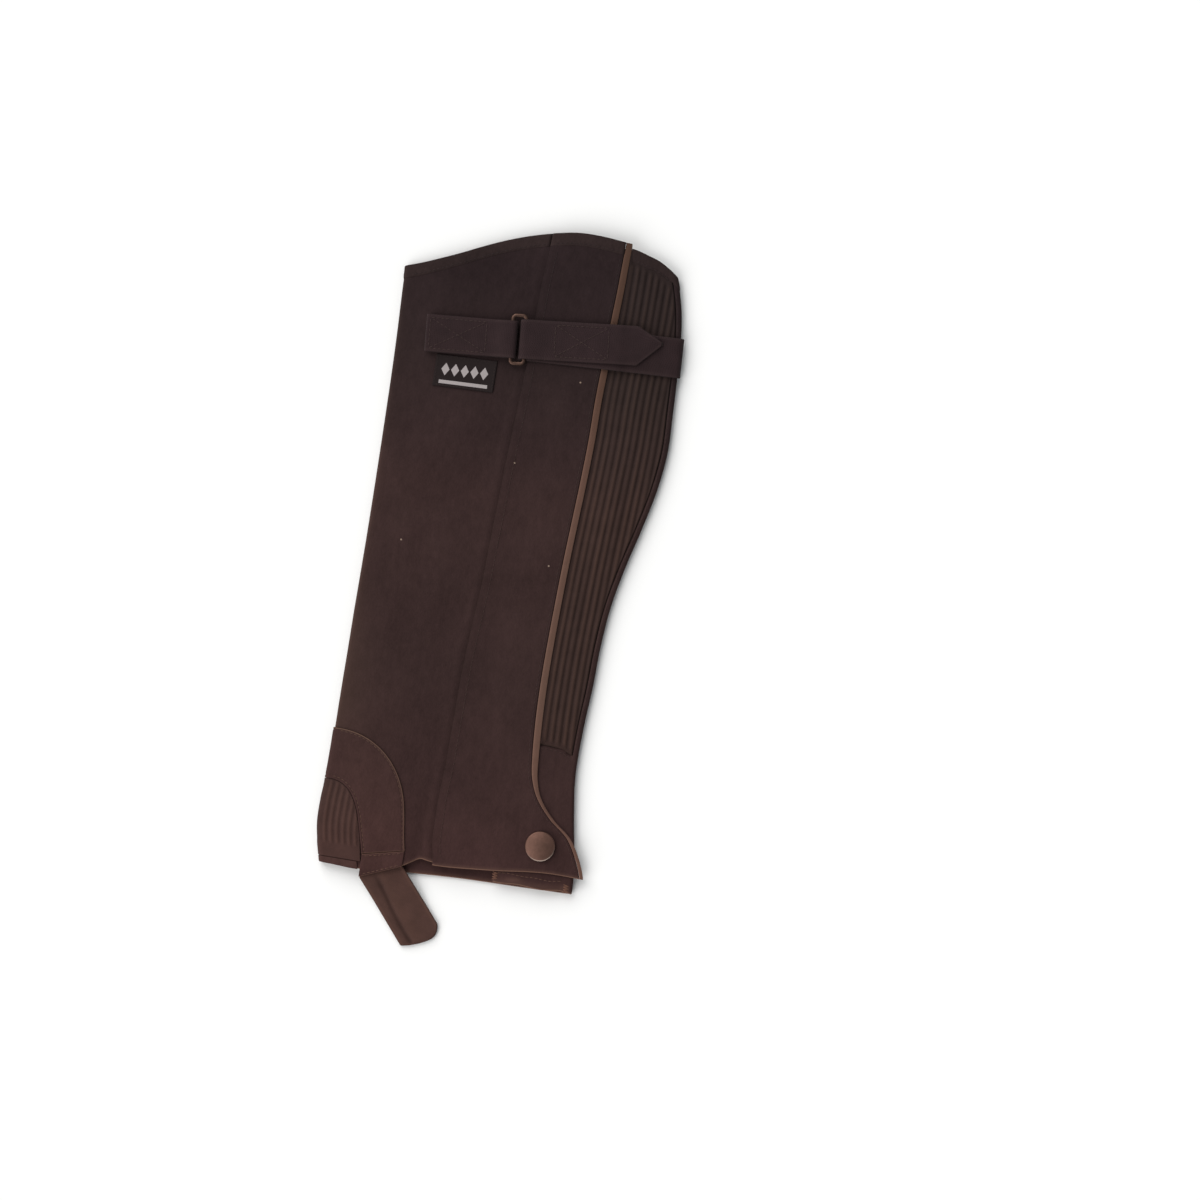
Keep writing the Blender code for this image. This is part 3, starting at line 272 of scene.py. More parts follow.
# The foot strap's crease starts at a place across it and leans, with a ridge beside it
FOOT_CREASE_LANE, FOOT_CREASE_LEAN, FOOT_CREASE_RATE = 9.8, 3.2, 1.3
FOOT_CREASE_DEPTH, FOOT_CREASE_WIDTH, FOOT_CREASE_RISE = 0.8, 1.3, 4
# How far the crease sinks, the painted shade in it, and the loop's paler end
FOOT_CREASE_SINK, FOOT_CREASE_SHADE, FOOT_LOOP_TONE = 0.8, 0.7, 0.3
FOOT_RIDGE, FOOT_SELVEDGE = Roll(0.3, 4, 3), Roll(0.5, 1.0, 0.9)
FOOT_INSIDE_SHARES, FOOT_END_SHARES, FOOT_ROWS = (-1.0, -0.96, -0.8, -0.5, -0.2), (0.0, 0.8), 44
foot_reach = line("lane reach", (0, 51.3), (5, 54), (14, 57), (21, 57.5), (25, 55), (27.5, 51.6))

LABEL_CORNER = Spot(25.6, 313.1)
LABEL_WIDTH, LABEL_HEIGHT, LABEL_THICK, LABEL_RISE = 39.0, 20.4, 0.6, 1.2
SNAP_PLACE, SNAP_BACK_PLACE = (140.0, 32.5), (122.0, 411.0)
CAP_RADIUS, CAP_RIM, CAP_CROWN = 8.8, 9.4, 1.25
# Where the painted highlight on the cap's rim lies, and how wide it is
CAP_HIGHLIGHT_TOWARD, CAP_HIGHLIGHT_WIDTH = math.radians(-69), math.radians(42)

# Soft troughs (depth above 0) and ridges (below 0), leaning from the line up the leg
FOLD = "across height lean length width depth"
OUTER_FOLDS = table(
    FOLD, (24, 300, 4, 150, 11, 0.45), (50, 262, -3, 190, 10, -0.4), (15, 190, 3, 150, 8, 0.4),
    (42, 142, 7, 110, 9, -0.35), (33, 228, -9, 90, 8, 0.3), (60, 176, 2, 130, 8, 0.35),
    (98, 268, 3, 180, 9, 0.35), (112, 190, -2, 150, 8, -0.3), (92, 132, -5, 110, 8, 0.3),
    (110, 66, 14, 70, 8, 0.45), (128, 40, 30, 40, 6, -0.35), (88, 44, -8, 60, 7, -0.35),
    (20, 360, -24, 60, 8, 0.35), (48, 382, 18, 56, 8, -0.3), (105, 396, 5, 60, 9, 0.3),
    (143, 66, -18, 54, 6, 0.4), (40, 24, 22, 40, 6, -0.3), (150, 250, -3, 120, 8, -0.3),
)
INNER_FOLDS = table(
    FOLD, (40, 120, 6, 150, 12, 0.45), (95, 90, -10, 110, 10, 0.4), (70, 170, 3, 110, 9, 0.35),
    (22, 60, -5, 80, 8, 0.3), (120, 180, 12, 120, 9, 0.35), (152, 300, 4, 140, 7, 0.3),
)


def ease(share):
    """Smooth step from 0 to 1."""
    share = np.clip(share, 0.0, 1.0)
    return share * share * (3 - 2 * share)


def hill(off, width):
    return np.exp(-(off / width) ** 2)


def swell(roll, off):
    """Height of a roll at a distance from the line that it lies beside."""
    return roll.height * hill(off - roll.off, roll.width)


def changed(change, v):
    """The value of a change at a height."""
    share = ease((v - change.start) / (change.end - change.start))
    return change.first + (change.last - change.first) * share


def wavy(wave, place):
    return wave.middle + wave.swing * np.sin(place * wave.rate + wave.phase)


def ramp_down(off, width):
    """1 at an edge and 0 a little past a width from it."""
    return np.clip(1.3 - off / width, 0, 1)


def shifted(edge, off):
    return lambda v: edge(v) + off


def piping_end(v):
    return flap_edge(v) + piping_room(v)


def beside_piping(v):
    return flap_edge(v) + piping_form(v) + 2 * SLIT


def inner_seam(v):
    return calf(v) - seam_inset(v)


def zip_line(v):
    share = (v - ZIP_FOOT.height) / (ZIP_HEAD.height - ZIP_FOOT.height)
    return ZIP_FOOT.across + (ZIP_HEAD.across - ZIP_FOOT.across) * share


shin_top, calf_top = shifted(front, FOLD_RADIUS), shifted(calf, -FOLD_RADIUS)
elastic_end = shifted(calf, -ELASTIC_INSET)


def folds(rows, u, v):
    """Depth of the soft troughs and ridges at a place."""
    depth = 0.0
    for fold in rows:
        lean = math.radians(fold.lean)
        right, up = u - fold.across, v - fold.height
        along = right * math.sin(lean) + up * math.cos(lean)
        across = right * math.cos(lean) - up * math.sin(lean)
        depth = depth + fold.depth * hill(across, fold.width) * hill(along, fold.length / 2)
    return depth


def rolled(roll, u, v):
    """Height of a roll beside the flap's seam."""
    return swell(roll, u - seam(v))


def outer_face(u, v):
    """Height of the outer wall's outer face."""
    room = np.minimum(u - front(v), calf(v) - u) - FOLD_RADIUS
    crown = CROWN * ease(room / CROWN_WIDTH)
    crease = HEM_CREASE.depth * hill(u - HEM_CREASE.across, HEM_CREASE.width) * ease(1 - v / HEM_CREASE.top)
    seam_roll = rolled(PANEL_ROLL, u, v) * ease(room / PANEL_ROLL_RUN)
    loose = ease(room / FOLDS_RUN) * (1 - STRAP_PRESS * hill(v - STRAP_LEVEL, STRAP_PRESS_WIDTH))
    return REST + 2 * FOLD_RADIUS + crown - crease + seam_roll - loose * folds(OUTER_FOLDS, u, v)


def under_face(u, v):
    """Height of the under wall's outer face, which is never below its rest."""
    room = np.minimum(u - front(v), calf(v) - u) - FOLD_RADIUS
    return REST + ease(room / FOLDS_RUN) * np.maximum(folds(INNER_FOLDS, u, v), 0)


def on_top(u, v, out):
    """Points moved out from the outer side."""
    return np.stack([u, v, outer_face(u, v) + out], -1)


def on_under(u, v, out):
    """Points moved out from the inner side."""
    return np.stack([u, v, under_face(u, v) - out], -1)


# A column is a line up the leg: its place across, and points moved out from the skin
Column = namedtuple("Column", "across point side")


def top_column(across):
    return Column(across, lambda v, out: on_top(across(v) + 0 * v, v, out), "top")


def under_column(across):
    return Column(across, lambda v, out: on_under(across(v) + 0 * v, v, out), "under")


def fold_column(edge, way, degrees):
    """A column round a fold, 0 degrees at its top and 180 at its underside."""
    angle = math.radians(degrees)

    def point(v, out):
        radius = FOLD_RADIUS + out
        middle = edge(v) + way * FOLD_RADIUS
        return np.stack([middle - way * radius * math.sin(angle), v,
                         REST + FOLD_RADIUS + radius * math.cos(angle)], -1)

    return Column(lambda v: edge(v) + way * FOLD_RADIUS * (1 - math.sin(angle)), point, "fold")


def meet(column, edge, start):
    """Height at which a column crosses a cut edge."""
    v = np.float64(start)
    for _ in range(MEET_ROUNDS):
        v = edge(column.across(v))
    return v


def hem(column, outer=hem_panel):
    return meet(column, hem_under if column.side == "under" else outer, LOW_START)


def mouth(column, outer=mouth_outer):
    return meet(column, mouth_under if column.side == "under" else outer, HIGH_START)


def below_binding(column, outer=mouth_outer):
    return mouth(column, outer) - GAP - BINDING


def rim(share):
    """Share of a wall's thickness at a share of its rim's radius."""
    return np.sqrt(1 - (1 - np.clip(share, 0, 1)) ** 2)


def rim_steps(low_rim, high_rim, middle):
    """(share of the middle stretch, offset from it, thickness) for rows closer together in the rims."""
    rows = [(0.0, -low_rim * (1 - share), rim(share)) for share in NEAR if low_rim]
    rows += [(k / middle, 0.0, 1.0) for k in range(middle + 1)]
    rows += [(1.0, high_rim * (1 - share), rim(share)) for share in reversed(NEAR) if high_rim]
    return rows


def even_steps(radius, middle):
    return rim_steps(radius, radius, middle)


def both_faces(lift, thick, full):
    """How far the two faces of a wall stand off the skin, at a share of its thickness."""
    return lift + thick * (0.5 + 0.5 * full), lift + thick * (0.5 - 0.5 * full)


def lines(start, end, middle, rims=(0, 0), make=top_column):
    """Columns from one edge line to another, each with its share of the thickness."""
    way = 1 if end(MIDDLE_LEVEL) > start(MIDDLE_LEVEL) else -1
    first, last = shifted(start, way * rims[0]), shifted(end, -way * rims[1])

    def across(share, off):
        return lambda v: first(v) + (last(v) - first(v)) * share + way * off

    return [(make(across(share, off)), full) for share, off, full in rim_steps(*rims, middle)]


def fold_lines(edge, way, count=9):
    return [(fold_column(edge, way, 180 * k / (count + 1)), 1.0) for k in range(1, count + 1)]


def lengths(points, axis=0):
    """Length along the lines of a grid of points, from the first point of each."""
    steps = np.linalg.norm(np.diff(points, axis=axis), axis=-1)
    return np.insert(np.cumsum(steps, axis=axis), 0, 0.0, axis=axis)


# The slot of each surface that isn't named after its own
SLOTS = {"suede_patch": "suede", "instep": "elastic", "foot_elastic": "elastic", "thread": "suede",
         "tack_thread": "suede", "dark_thread": "suede", "strap_thread": "webbing", "ring": "metal"}
LEAST_SHEET, LEAST_SHARE = 0.01, 0.3
CUT_EDGE = 0.7              # width of the pale cut edge of suede
surfaces = {}
corner = Vector((*SNAP_PLACE, 0)) * MM - sum(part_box("snap_cap"), Vector()) / 2
ORIGIN = np.array((corner.x, corner.y, 0.0))


def make_object(name, points, faces, surface, node=None, lay=None, slot=None):
    """A named piece from points in millimetres, riding on the part and standing for a solid."""
    mesh = bpy.data.meshes.new(name)
    mesh.from_pydata((np.asarray(points, float) * MM - ORIGIN).tolist(), [], faces)
    if lay is not None:
        field = mesh.attributes.new("lay", "FLOAT_VECTOR", "POINT")
        field.data.foreach_set("vector", np.asarray(lay, np.float32).ravel())
    shape = bmesh.new()
    shape.from_mesh(mesh)
    bmesh.ops.remove_doubles(shape, verts=shape.verts, dist=1e-6)
    bmesh.ops.recalc_face_normals(shape, faces=shape.faces)
    shape.to_mesh(mesh)
    shape.free()
    mesh.shade_smooth()
    mesh.materials.append(surfaces[surface])
    piece = bpy.data.objects.new(name, mesh)
    bpy.context.scene.collection.objects.link(piece)
    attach(piece, "root")
    slot or SLOTS.get(surface, surface)
    if node:
        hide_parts(node)
    return piece


def declare(size, area):
    """Size and area, in metres, that a laid piece of cloth was cut to, held to their least; nothing is done
    with them.
    """
    width, length = (max(side, LEAST_SHEET) for side in size)
    area = max(area, LEAST_SHARE * width * length)


def cloth(name, node, surface, layers, kept=None, flat=None):
    """A laid piece from grids of its outer points, inner points and tones, whose rims meet."""
    over, below, tones = layers
    rows, columns = over.shape[:2]
    index = np.arange(rows * columns).reshape(rows, columns)
    kept = np.ones((rows - 1, columns - 1), bool) if kept is None else kept
    around = sum(np.pad(kept.astype(int), ((i, 1 - i), (j, 1 - j))) for i in (0, 1) for j in (0, 1))
    lower = np.where(around == 4, index + rows * columns, index)
    i, j = np.nonzero(kept)
    top, bottom = (np.stack([layer[i, j], layer[i, j + 1], layer[i + 1, j + 1], layer[i + 1, j]], 1)
                   for layer in (index, lower))
    used, faces = np.unique(np.concatenate([top, bottom[:, ::-1]]), return_inverse=True)
    across, along = lengths(over, 0) * MM, lengths(over, 1) * MM
    lay = np.stack([across, along, tones], -1).reshape(-1, 3)
    points = np.concatenate([over.reshape(-1, 3), below.reshape(-1, 3)])
    piece = make_object(name, points[used], faces.reshape(-1, 4).tolist(), surface, node,
                        np.concatenate([lay, lay])[used])
    middle = (over + below) / 2
    cell = np.cross(middle[1:, :-1] - middle[:-1, :-1], middle[:-1, 1:] - middle[:-1, :-1])
    area = float((np.linalg.norm(cell, axis=-1) * kept).sum()) * MM * MM
    size = float(across.max()), float(along.max())
    declare(flat or size, min(area, size[0] * size[1]))


def grid(lanes, rows, place):
    """Layers of a piece from place(lane, row), which gives outer point, inner point and tone."""
    cells = [[place(lane, row) for row in rows] for lane in lanes]
    return [np.array([[cell[k] for cell in lane] for lane in cells], float) for k in range(3)]


# Rows up the leg of each panel's mesh
ROWS = {"main_panel": 170, "calf_panel": 190, "elastic_panel": 200, "flap": 220, "gusset_elastic": 60,
        "gusset_hem": 12, "zip_tape_left": 120, "zip_tape_right": 120}


def wall(node, surface, columns, heights, rims, lift=-WALL, thick=WALL, relief=None,
         full=None, kept=None, cut_edge=False, tone=None):
    """A panel on the skin, with round rims, a relief on its outer face, and a tone of its own.

    A tone above 0 turns to the pale cut edge, a worn crest or a painted highlight, and one below 0 to painted
    shade.
    """
    steps, offs, fulls = (np.array(values) for values in zip(*rim_steps(*rims, ROWS[node])))
    over, below, tones, cells = [], [], [], []
    for column, share in columns:
        low, high = heights(column)
        first, last = low + rims[0], high - rims[1]
        v = first + (last - first) * steps + offs
        share = share * fulls * (full(column, v) if full else 1.0)
        proud = relief(column, v) * share if relief else 0.0
        outer, inner = both_faces(lift, thick, share)
        over.append(column.point(v, outer + proud))
        below.append(column.point(v, inner))
        marks = tone(column, v) if tone else 0 * v
        edge = ramp_down(v - low, CUT_EDGE) * cut_edge
        tones.append(np.where(edge > 0, np.maximum(marks, edge), marks))
        cells.append(kept(column, v) if kept else np.ones_like(v, bool))
    layers = np.array(over), np.array(below), np.array(tones)
    cloth(node + "_cloth", node, surface, layers, np.array(cells)[:-1, :-1])


LINT_SCALE, LINT_RADIUS, LINT_SHARE, LINT_STRENGTH = 30.0, 0.017, 0.14, 0.7
# Colours of the pale cut edge, of lint, and of the painted highlight on metal
CUT_COLOR, LINT_COLOR, METAL_HIGHLIGHT = (0.150, 0.092, 0.066), (0.30, 0.22, 0.17), (0.95, 0.78, 0.68)
# Painted light falloff: colour factors of the cloth by height in the part's frame, in metres, with painted
# shade towards the mouth and painted light, warmer, towards the hem
PAINTED_LIGHT_FALLOFF = table(
    "height color", (-0.19, (1.26, 1.12, 1.12)), (-0.13, (1.08, 1.03, 1.03)), (-0.06, (0.97, 0.98, 0.98)),
    (0.06, (1.0, 1.0, 1.0)), (0.10, (0.86, 0.90, 0.94)), (0.14, (0.70, 0.78, 0.82)),
    (0.20, (0.62, 0.70, 0.78)),
)
# Painted light falloff of the piping, in the same way
PIPING_PAINTED_LIGHT_FALLOFF = table(
    "height color", (-0.19, (1.20, 1.12, 1.12)), (-0.13, (1.08, 1.03, 1.03)), (-0.06, (0.97, 0.97, 0.97)),
    (0.06, (0.98, 0.95, 0.95)), (0.10, (0.88, 0.84, 0.82)), (0.14, (0.72, 0.68, 0.64)),
    (0.20, (0.63, 0.60, 0.56)),
)
FALLOFF_SCALE = 0.7            # keeps the ramp's colours below 1
# How far a tone below 0 darkens a colour with painted shade, and the darkest that painted shade gets
SHADE_DARKENING, DARKEST_SHADE = 0.75, 0.2


def shade(color, factor):
    return tuple(channel * factor for channel in color)


class Surface:
    """A material under way: short names for its nodes, and its shader."""

    def __init__(self, name, **finish):
        material = bpy.data.materials.new(name)
        material.use_nodes = True
        surfaces[name] = material
        self.tree = material.node_tree
        self.shader = self.tree.nodes["Principled BSDF"]
        self.place = self.add("TexCoord").outputs["Object"]
        for key, value in finish.items():
            self.put(self.shader.inputs[key.replace("_", " ")], value)

    def put(self, socket, value):
        """Link a socket, or set a number or a colour."""
        if isinstance(value, bpy.types.NodeSocket):
            self.tree.links.new(value, socket)
        else:
            socket.default_value = (*value, 1) if socket.type == "RGBA" else value

    def add(self, kind, settings=None, **inputs):
        made = self.tree.nodes.new("ShaderNode" + kind)
        for key, value in (settings or {}).items():
            setattr(made, key, value)
        for key, value in inputs.items():
            self.put(made.inputs[key.replace("_", " ")], value)
        return made

    def math(self, operation, *values):
        made = self.add("Math", {"operation": operation})
        for socket, value in zip(made.inputs, values):
            self.put(socket, value)
        return made.outputs[0]

    def total(self, *parts):
        """Sum of (value, weight) pairs."""
        value = 0.0
        for part, weight in parts:
            value = self.math("MULTIPLY_ADD", part, weight, value)
        return value

    def distance(self, value, middle):
        return self.math("ABSOLUTE", self.math("SUBTRACT", value, middle))

    def axis(self, vector, name):
        return self.add("SeparateXYZ", Vector=vector).outputs[name]

    def lay(self, name):
        """The cloth's own length across (X) and along (Y), or its tone (Z)."""
        return self.axis(self.add("Attribute", {"attribute_name": "lay"}).outputs["Vector"], name)

    def noise(self, scale, detail=2.0, rough=0.5, stretch=1.0):
        """Noise over the part, drawn out along the leg by a stretch below 1."""
        place = self.place
        if stretch != 1.0:
            place = self.add("Mapping", Vector=place, Scale=(1.0, stretch, 1.0)).outputs["Vector"]
        made = self.add("TexNoise", Vector=place, Scale=scale, Detail=detail, Roughness=rough)
        return made.outputs["Fac"]

    def ramp(self, factor, low, high, dark, light):
        """Colour from dark to light as a factor goes from low to high."""
        made = self.add("ValToRGB", Fac=factor)
        for stop, position, color in zip(made.color_ramp.elements, (low, high), (dark, light)):
            stop.position, stop.color = position, (*color, 1)
        return made.outputs["Color"]

    def mix(self, factor, first, second, kind="MIX"):
        made = self.add("MixRGB", {"blend_type": kind}, Fac=factor, Color1=first, Color2=second)
        return made.outputs["Color"]

    def paint(self, color):
        self.put(self.shader.inputs["Base Color"], color)

    def bump(self, height, strength, distance):
        """Bump on the shader; a second call adds to the first."""
        made = self.add("Bump", Height=height, Strength=strength, Distance=distance)
        normal = self.shader.inputs["Normal"]
        if normal.links:
            self.tree.links.new(normal.links[0].from_socket, made.inputs["Normal"])
        self.tree.links.new(made.outputs["Normal"], normal)

    def paint_light_falloff(self, color, falloffs):
        """Painted light falloff: the cloth's colour is darkened with painted shade towards the mouth, and
        painted lighter and warmer towards the hem.
        """
        span = falloffs[-1].height - falloffs[0].height
        share = self.math("MULTIPLY_ADD", self.axis(self.place, "Y"), 1 / span, -falloffs[0].height / span)
        made = self.add("ValToRGB", Fac=share)
        stops = made.color_ramp.elements
        while len(stops) < len(falloffs):
            stops.new(0.5)
        for stop, falloff in zip(stops, falloffs):
            stop.position = (falloff.height - falloffs[0].height) / span
        for stop, falloff in zip(stops, falloffs):
            stop.color = (*shade(falloff.color, FALLOFF_SCALE), 1)
        falloff_color = self.mix(1.0, color, made.outputs["Color"], "MULTIPLY")
        return self.mix(1.0, falloff_color, (1 / FALLOFF_SCALE,) * 3, "MULTIPLY")

    def wear_and_painted_light(self, color, crest):
        """A colour turned to its pale crest colour, for cut edges, wear and painted highlights, where the
        lay's tone is above 0, and darkened with painted shade where it is below.
        """
        tone = self.lay("Z")
        dark = self.math("MAXIMUM", self.math("MULTIPLY_ADD", tone, SHADE_DARKENING, 1.0), DARKEST_SHADE)
        dark = self.math("MINIMUM", dark, 1.0)
        grey = self.add("CombineXYZ", X=dark, Y=dark, Z=dark).outputs["Vector"]
        shaded = self.mix(1.0, color, grey, "MULTIPLY")
        pale = self.math("MINIMUM", self.math("MAXIMUM", tone, 0.0), 1.0)
        return self.mix(pale, shaded, crest)


def suede(name, color, contrast=0.24):
    """Napped suede: soft blotches where the nap lies over, fine fibres, lint and pale cut edges."""
    made = Surface(name, Roughness=0.95, Specular_IOR_Level=0.06, Sheen_Weight=0.035, Sheen_Roughness=0.45,
                   Sheen_Tint=(0.85, 0.55, 0.45))
    blotch = made.noise(22.0, 4.0, 0.6)
    brushed = made.noise(260.0, 4.0, 0.65, 0.5)
    fibre = made.noise(1500.0, 3.0, 0.6, 0.45)
    nap = made.total((brushed, 0.32), (blotch, 0.4), (fibre, 0.28))
    tone = made.ramp(nap, 0.36, 0.64, shade(color, 1 - contrast), shade(color, 1 + contrast))
    # Pale cut edges, then painted shade towards the mouth and painted light towards the hem
    tone = made.paint_light_falloff(made.wear_and_painted_light(tone, CUT_COLOR), PAINTED_LIGHT_FALLOFF)
    lint = made.add("TexVoronoi", {"voronoi_dimensions": "2D"}, Vector=made.place, Scale=LINT_SCALE)
    speck = made.math("LESS_THAN", lint.outputs["Distance"], LINT_RADIUS)
    chosen = made.math("GREATER_THAN", made.axis(lint.outputs["Color"], "X"), 1 - LINT_SHARE)
    speck = made.math("MULTIPLY", made.math("MULTIPLY", speck, chosen), LINT_STRENGTH)
    made.paint(made.mix(speck, tone, LINT_COLOR))
    made.bump(fibre, 0.5, 0.00016)
    made.bump(brushed, 0.4, 0.0006)


def woven(name, color, crest, across, along, depth, contrast=0.34, falloffs=PAINTED_LIGHT_FALLOFF):
    """A weave laid out along the cloth, slightly uneven: across and along are its pitches."""
    made = Surface(name, Roughness=0.85, Specular_IOR_Level=0.12, Sheen_Weight=0.04, Sheen_Roughness=0.4)
    drift = made.math("MULTIPLY", made.noise(300.0), 1.6)
    warp = made.math("SINE", made.math("MULTIPLY", made.lay("X"), 2 * math.pi / across))
    weft = made.math("SINE", made.math("MULTIPLY_ADD", made.lay("Y"), 2 * math.pi / along, drift))
    threads = made.math("MULTIPLY_ADD", made.math("MULTIPLY", warp, weft), 0.35, 0.5)
    threads = made.math("MULTIPLY_ADD", weft, 0.15, threads)
    fuzz = made.noise(1900.0)
    mixed = made.total((made.noise(110.0, 4.0, 0.6), 0.4), (threads, 0.4), (fuzz, 0.2))
    tone = made.ramp(mixed, 0.28, 0.72, shade(color, 1 - contrast), shade(color, 1 + contrast))
    # Worn crests and painted light and shade, then painted shade towards the mouth and painted light towards
    # the hem
    made.paint(made.paint_light_falloff(made.wear_and_painted_light(tone, crest), falloffs))
    made.bump(fuzz, 0.25, 0.0001)
    made.bump(threads, 0.7, depth)


def metal(name, color, roughness, tarnish_color):
    """Plated metal, with faint tarnish and brushing, and a painted highlight where the lay's tone is above 0.
    """
    made = Surface(name, Metallic=1.0)
    tarnish = made.noise(420.0, 4.0, 0.6)
    made.paint(made.wear_and_painted_light(made.ramp(tarnish, 0.35, 0.7, color, tarnish_color), METAL_HIGHLIGHT))
    rough = made.math("MULTIPLY_ADD", made.noise(1500.0, 3.0), 0.25, roughness - 0.12)
    made.put(made.shader.inputs["Roughness"], rough)
    made.bump(tarnish, 0.15, 0.00005)


def label_surface():
    """Dark satin weave with a row of plain pale diamonds over a bar."""
    made = Surface("label", Roughness=0.8, Specular_IOR_Level=0.1)
    x = made.math("MULTIPLY", made.lay("X"), 1 / (LABEL_WIDTH * MM))
    y = made.math("MULTIPLY", made.lay("Y"), 1 / (LABEL_HEIGHT * MM))
    diamonds, margin, middle, slope, size = 5, 0.1, 0.56, 2.1, 0.42
    bar_middle, bar_half = 0.16, 0.055
    cell = made.math("MULTIPLY", made.math("SUBTRACT", x, margin), diamonds / (1 - 2 * margin))
    within = made.distance(made.math("FRACT", cell), 0.5)
    reach = made.math("MULTIPLY_ADD", made.distance(y, middle), slope, within)
    diamond = made.math("LESS_THAN", reach, size)
    bar = made.math("LESS_THAN", made.distance(y, bar_middle), bar_half)
    inside = made.math("LESS_THAN", made.distance(x, 0.5), 0.5 - margin)
    mark = made.math("MULTIPLY", made.math("MAXIMUM", diamond, bar), inside)
    threads = made.math("SINE", made.math("MULTIPLY", made.lay("Y"), 2 * math.pi / 0.00045))
    grain = made.math("MULTIPLY_ADD", threads, 0.5, 0.5)
    ground = made.ramp(grain, 0.0, 1.0, (0.011, 0.008, 0.008), (0.021, 0.014, 0.014))
    pale = made.ramp(grain, 0.0, 1.0, (0.26, 0.23, 0.23), (0.40, 0.36, 0.36))
    made.paint(made.mix(mark, ground, pale))
    made.bump(threads, 0.4, 0.00008)


def make_materials():
    suede("suede", (0.0345, 0.0190, 0.0180))
    suede("suede_patch", (0.0420, 0.0225, 0.0205))
    suede("binding", (0.0430, 0.0245, 0.0215), 0.3)
    woven("elastic", (0.0330, 0.0178, 0.0150), (0.062, 0.033, 0.025), 0.0007, 0.0006, 0.00012)
    woven("instep", (0.0420, 0.0225, 0.0190), (0.070, 0.038, 0.029), 0.0007, 0.0006, 0.00012)
    woven("foot_elastic", (0.0500, 0.0280, 0.0225), (0.078, 0.044, 0.033), 0.0011, 0.0009, 0.0002)
    woven("webbing", (0.0345, 0.0172, 0.0172), (0.055, 0.030, 0.028), 0.0013, 0.0011, 0.0003)
    woven("piping", (0.126, 0.070, 0.052), (0.15, 0.095, 0.075), 0.0006, 0.0006, 0.0001, 0.14, PIPING_PAINTED_LIGHT_FALLOFF)
    woven("tape", (0.03, 0.02, 0.02), (0.05, 0.03, 0.03), 0.0008, 0.0006, 0.00012)
    for name, color, crest in (
            ("thread", (0.080, 0.047, 0.034), (0.09, 0.06, 0.05)),
            ("tack_thread", (0.115, 0.062, 0.043), (0.14, 0.09, 0.07)),
            ("dark_thread", (0.046, 0.027, 0.024), (0.06, 0.04, 0.03)),
            ("strap_thread", (0.062, 0.035, 0.030), (0.07, 0.04, 0.035))):
        woven(name, color, crest, 0.0005, 0.0005, 0.0001)
    metal("metal", (0.158, 0.086, 0.067), 0.55, (0.128, 0.071, 0.055))
    metal("ring", (0.105, 0.062, 0.048), 0.5, (0.07, 0.042, 0.034))
    metal("brass", (0.60, 0.43, 0.24), 0.3, (0.42, 0.29, 0.16))
    label_surface()


def main_panel():
    """From the zip over the outer side, round the shin edge, to the inner seam."""
    zip_side = lines(shifted(zip_line, -ZIP_OPENING), seam, 12, (EDGE_RIM, 0))
    columns = zip_side + lines(seam, shin_top, 44)[1:] + fold_lines(front, 1)
    columns += lines(shin_top, shifted(inner_seam, -GAP / 2), 44, (0, SEAM_RIM), under_column)
    under_flap = [column for column, _ in zip_side[:-1]]

    def heights(column):
        top = below_binding(column)
        return hem(column), min(top, ZIP_SIDE_TOP) if column in under_flap else top

    def tone(column, v):
        """Painted shade in the groove beside the flap's seam and in the crease by the hem, and a warm painted
        highlight towards the shin edge, where the light falls.
        """
        u = column.across(v)
        # Painted shade beside the seam and in the hem's crease
        groove = changed(SEAM_GROOVE_SHADE, v) * hill(u - seam(v), SEAM_GROOVE_SHADE_WIDTH)
        groove = groove + changed(CREASE_SHADE, v) * hill(u - HEM_CREASE.across, CREASE_SHADE_WIDTH)
        # Warm painted highlight towards the shin edge, where the light falls
        lighter = changed(SHIN_HIGHLIGHT, v) * np.exp(-np.maximum(u - front(v), 0) / changed(SHIN_HIGHLIGHT_REACH, v))
        return (column.side != "under") * lighter - (column.side == "top") * groove

    wall("main_panel", "suede", columns, heights, (EDGE_RIM, EDGE_RIM), cut_edge=True, tone=tone)


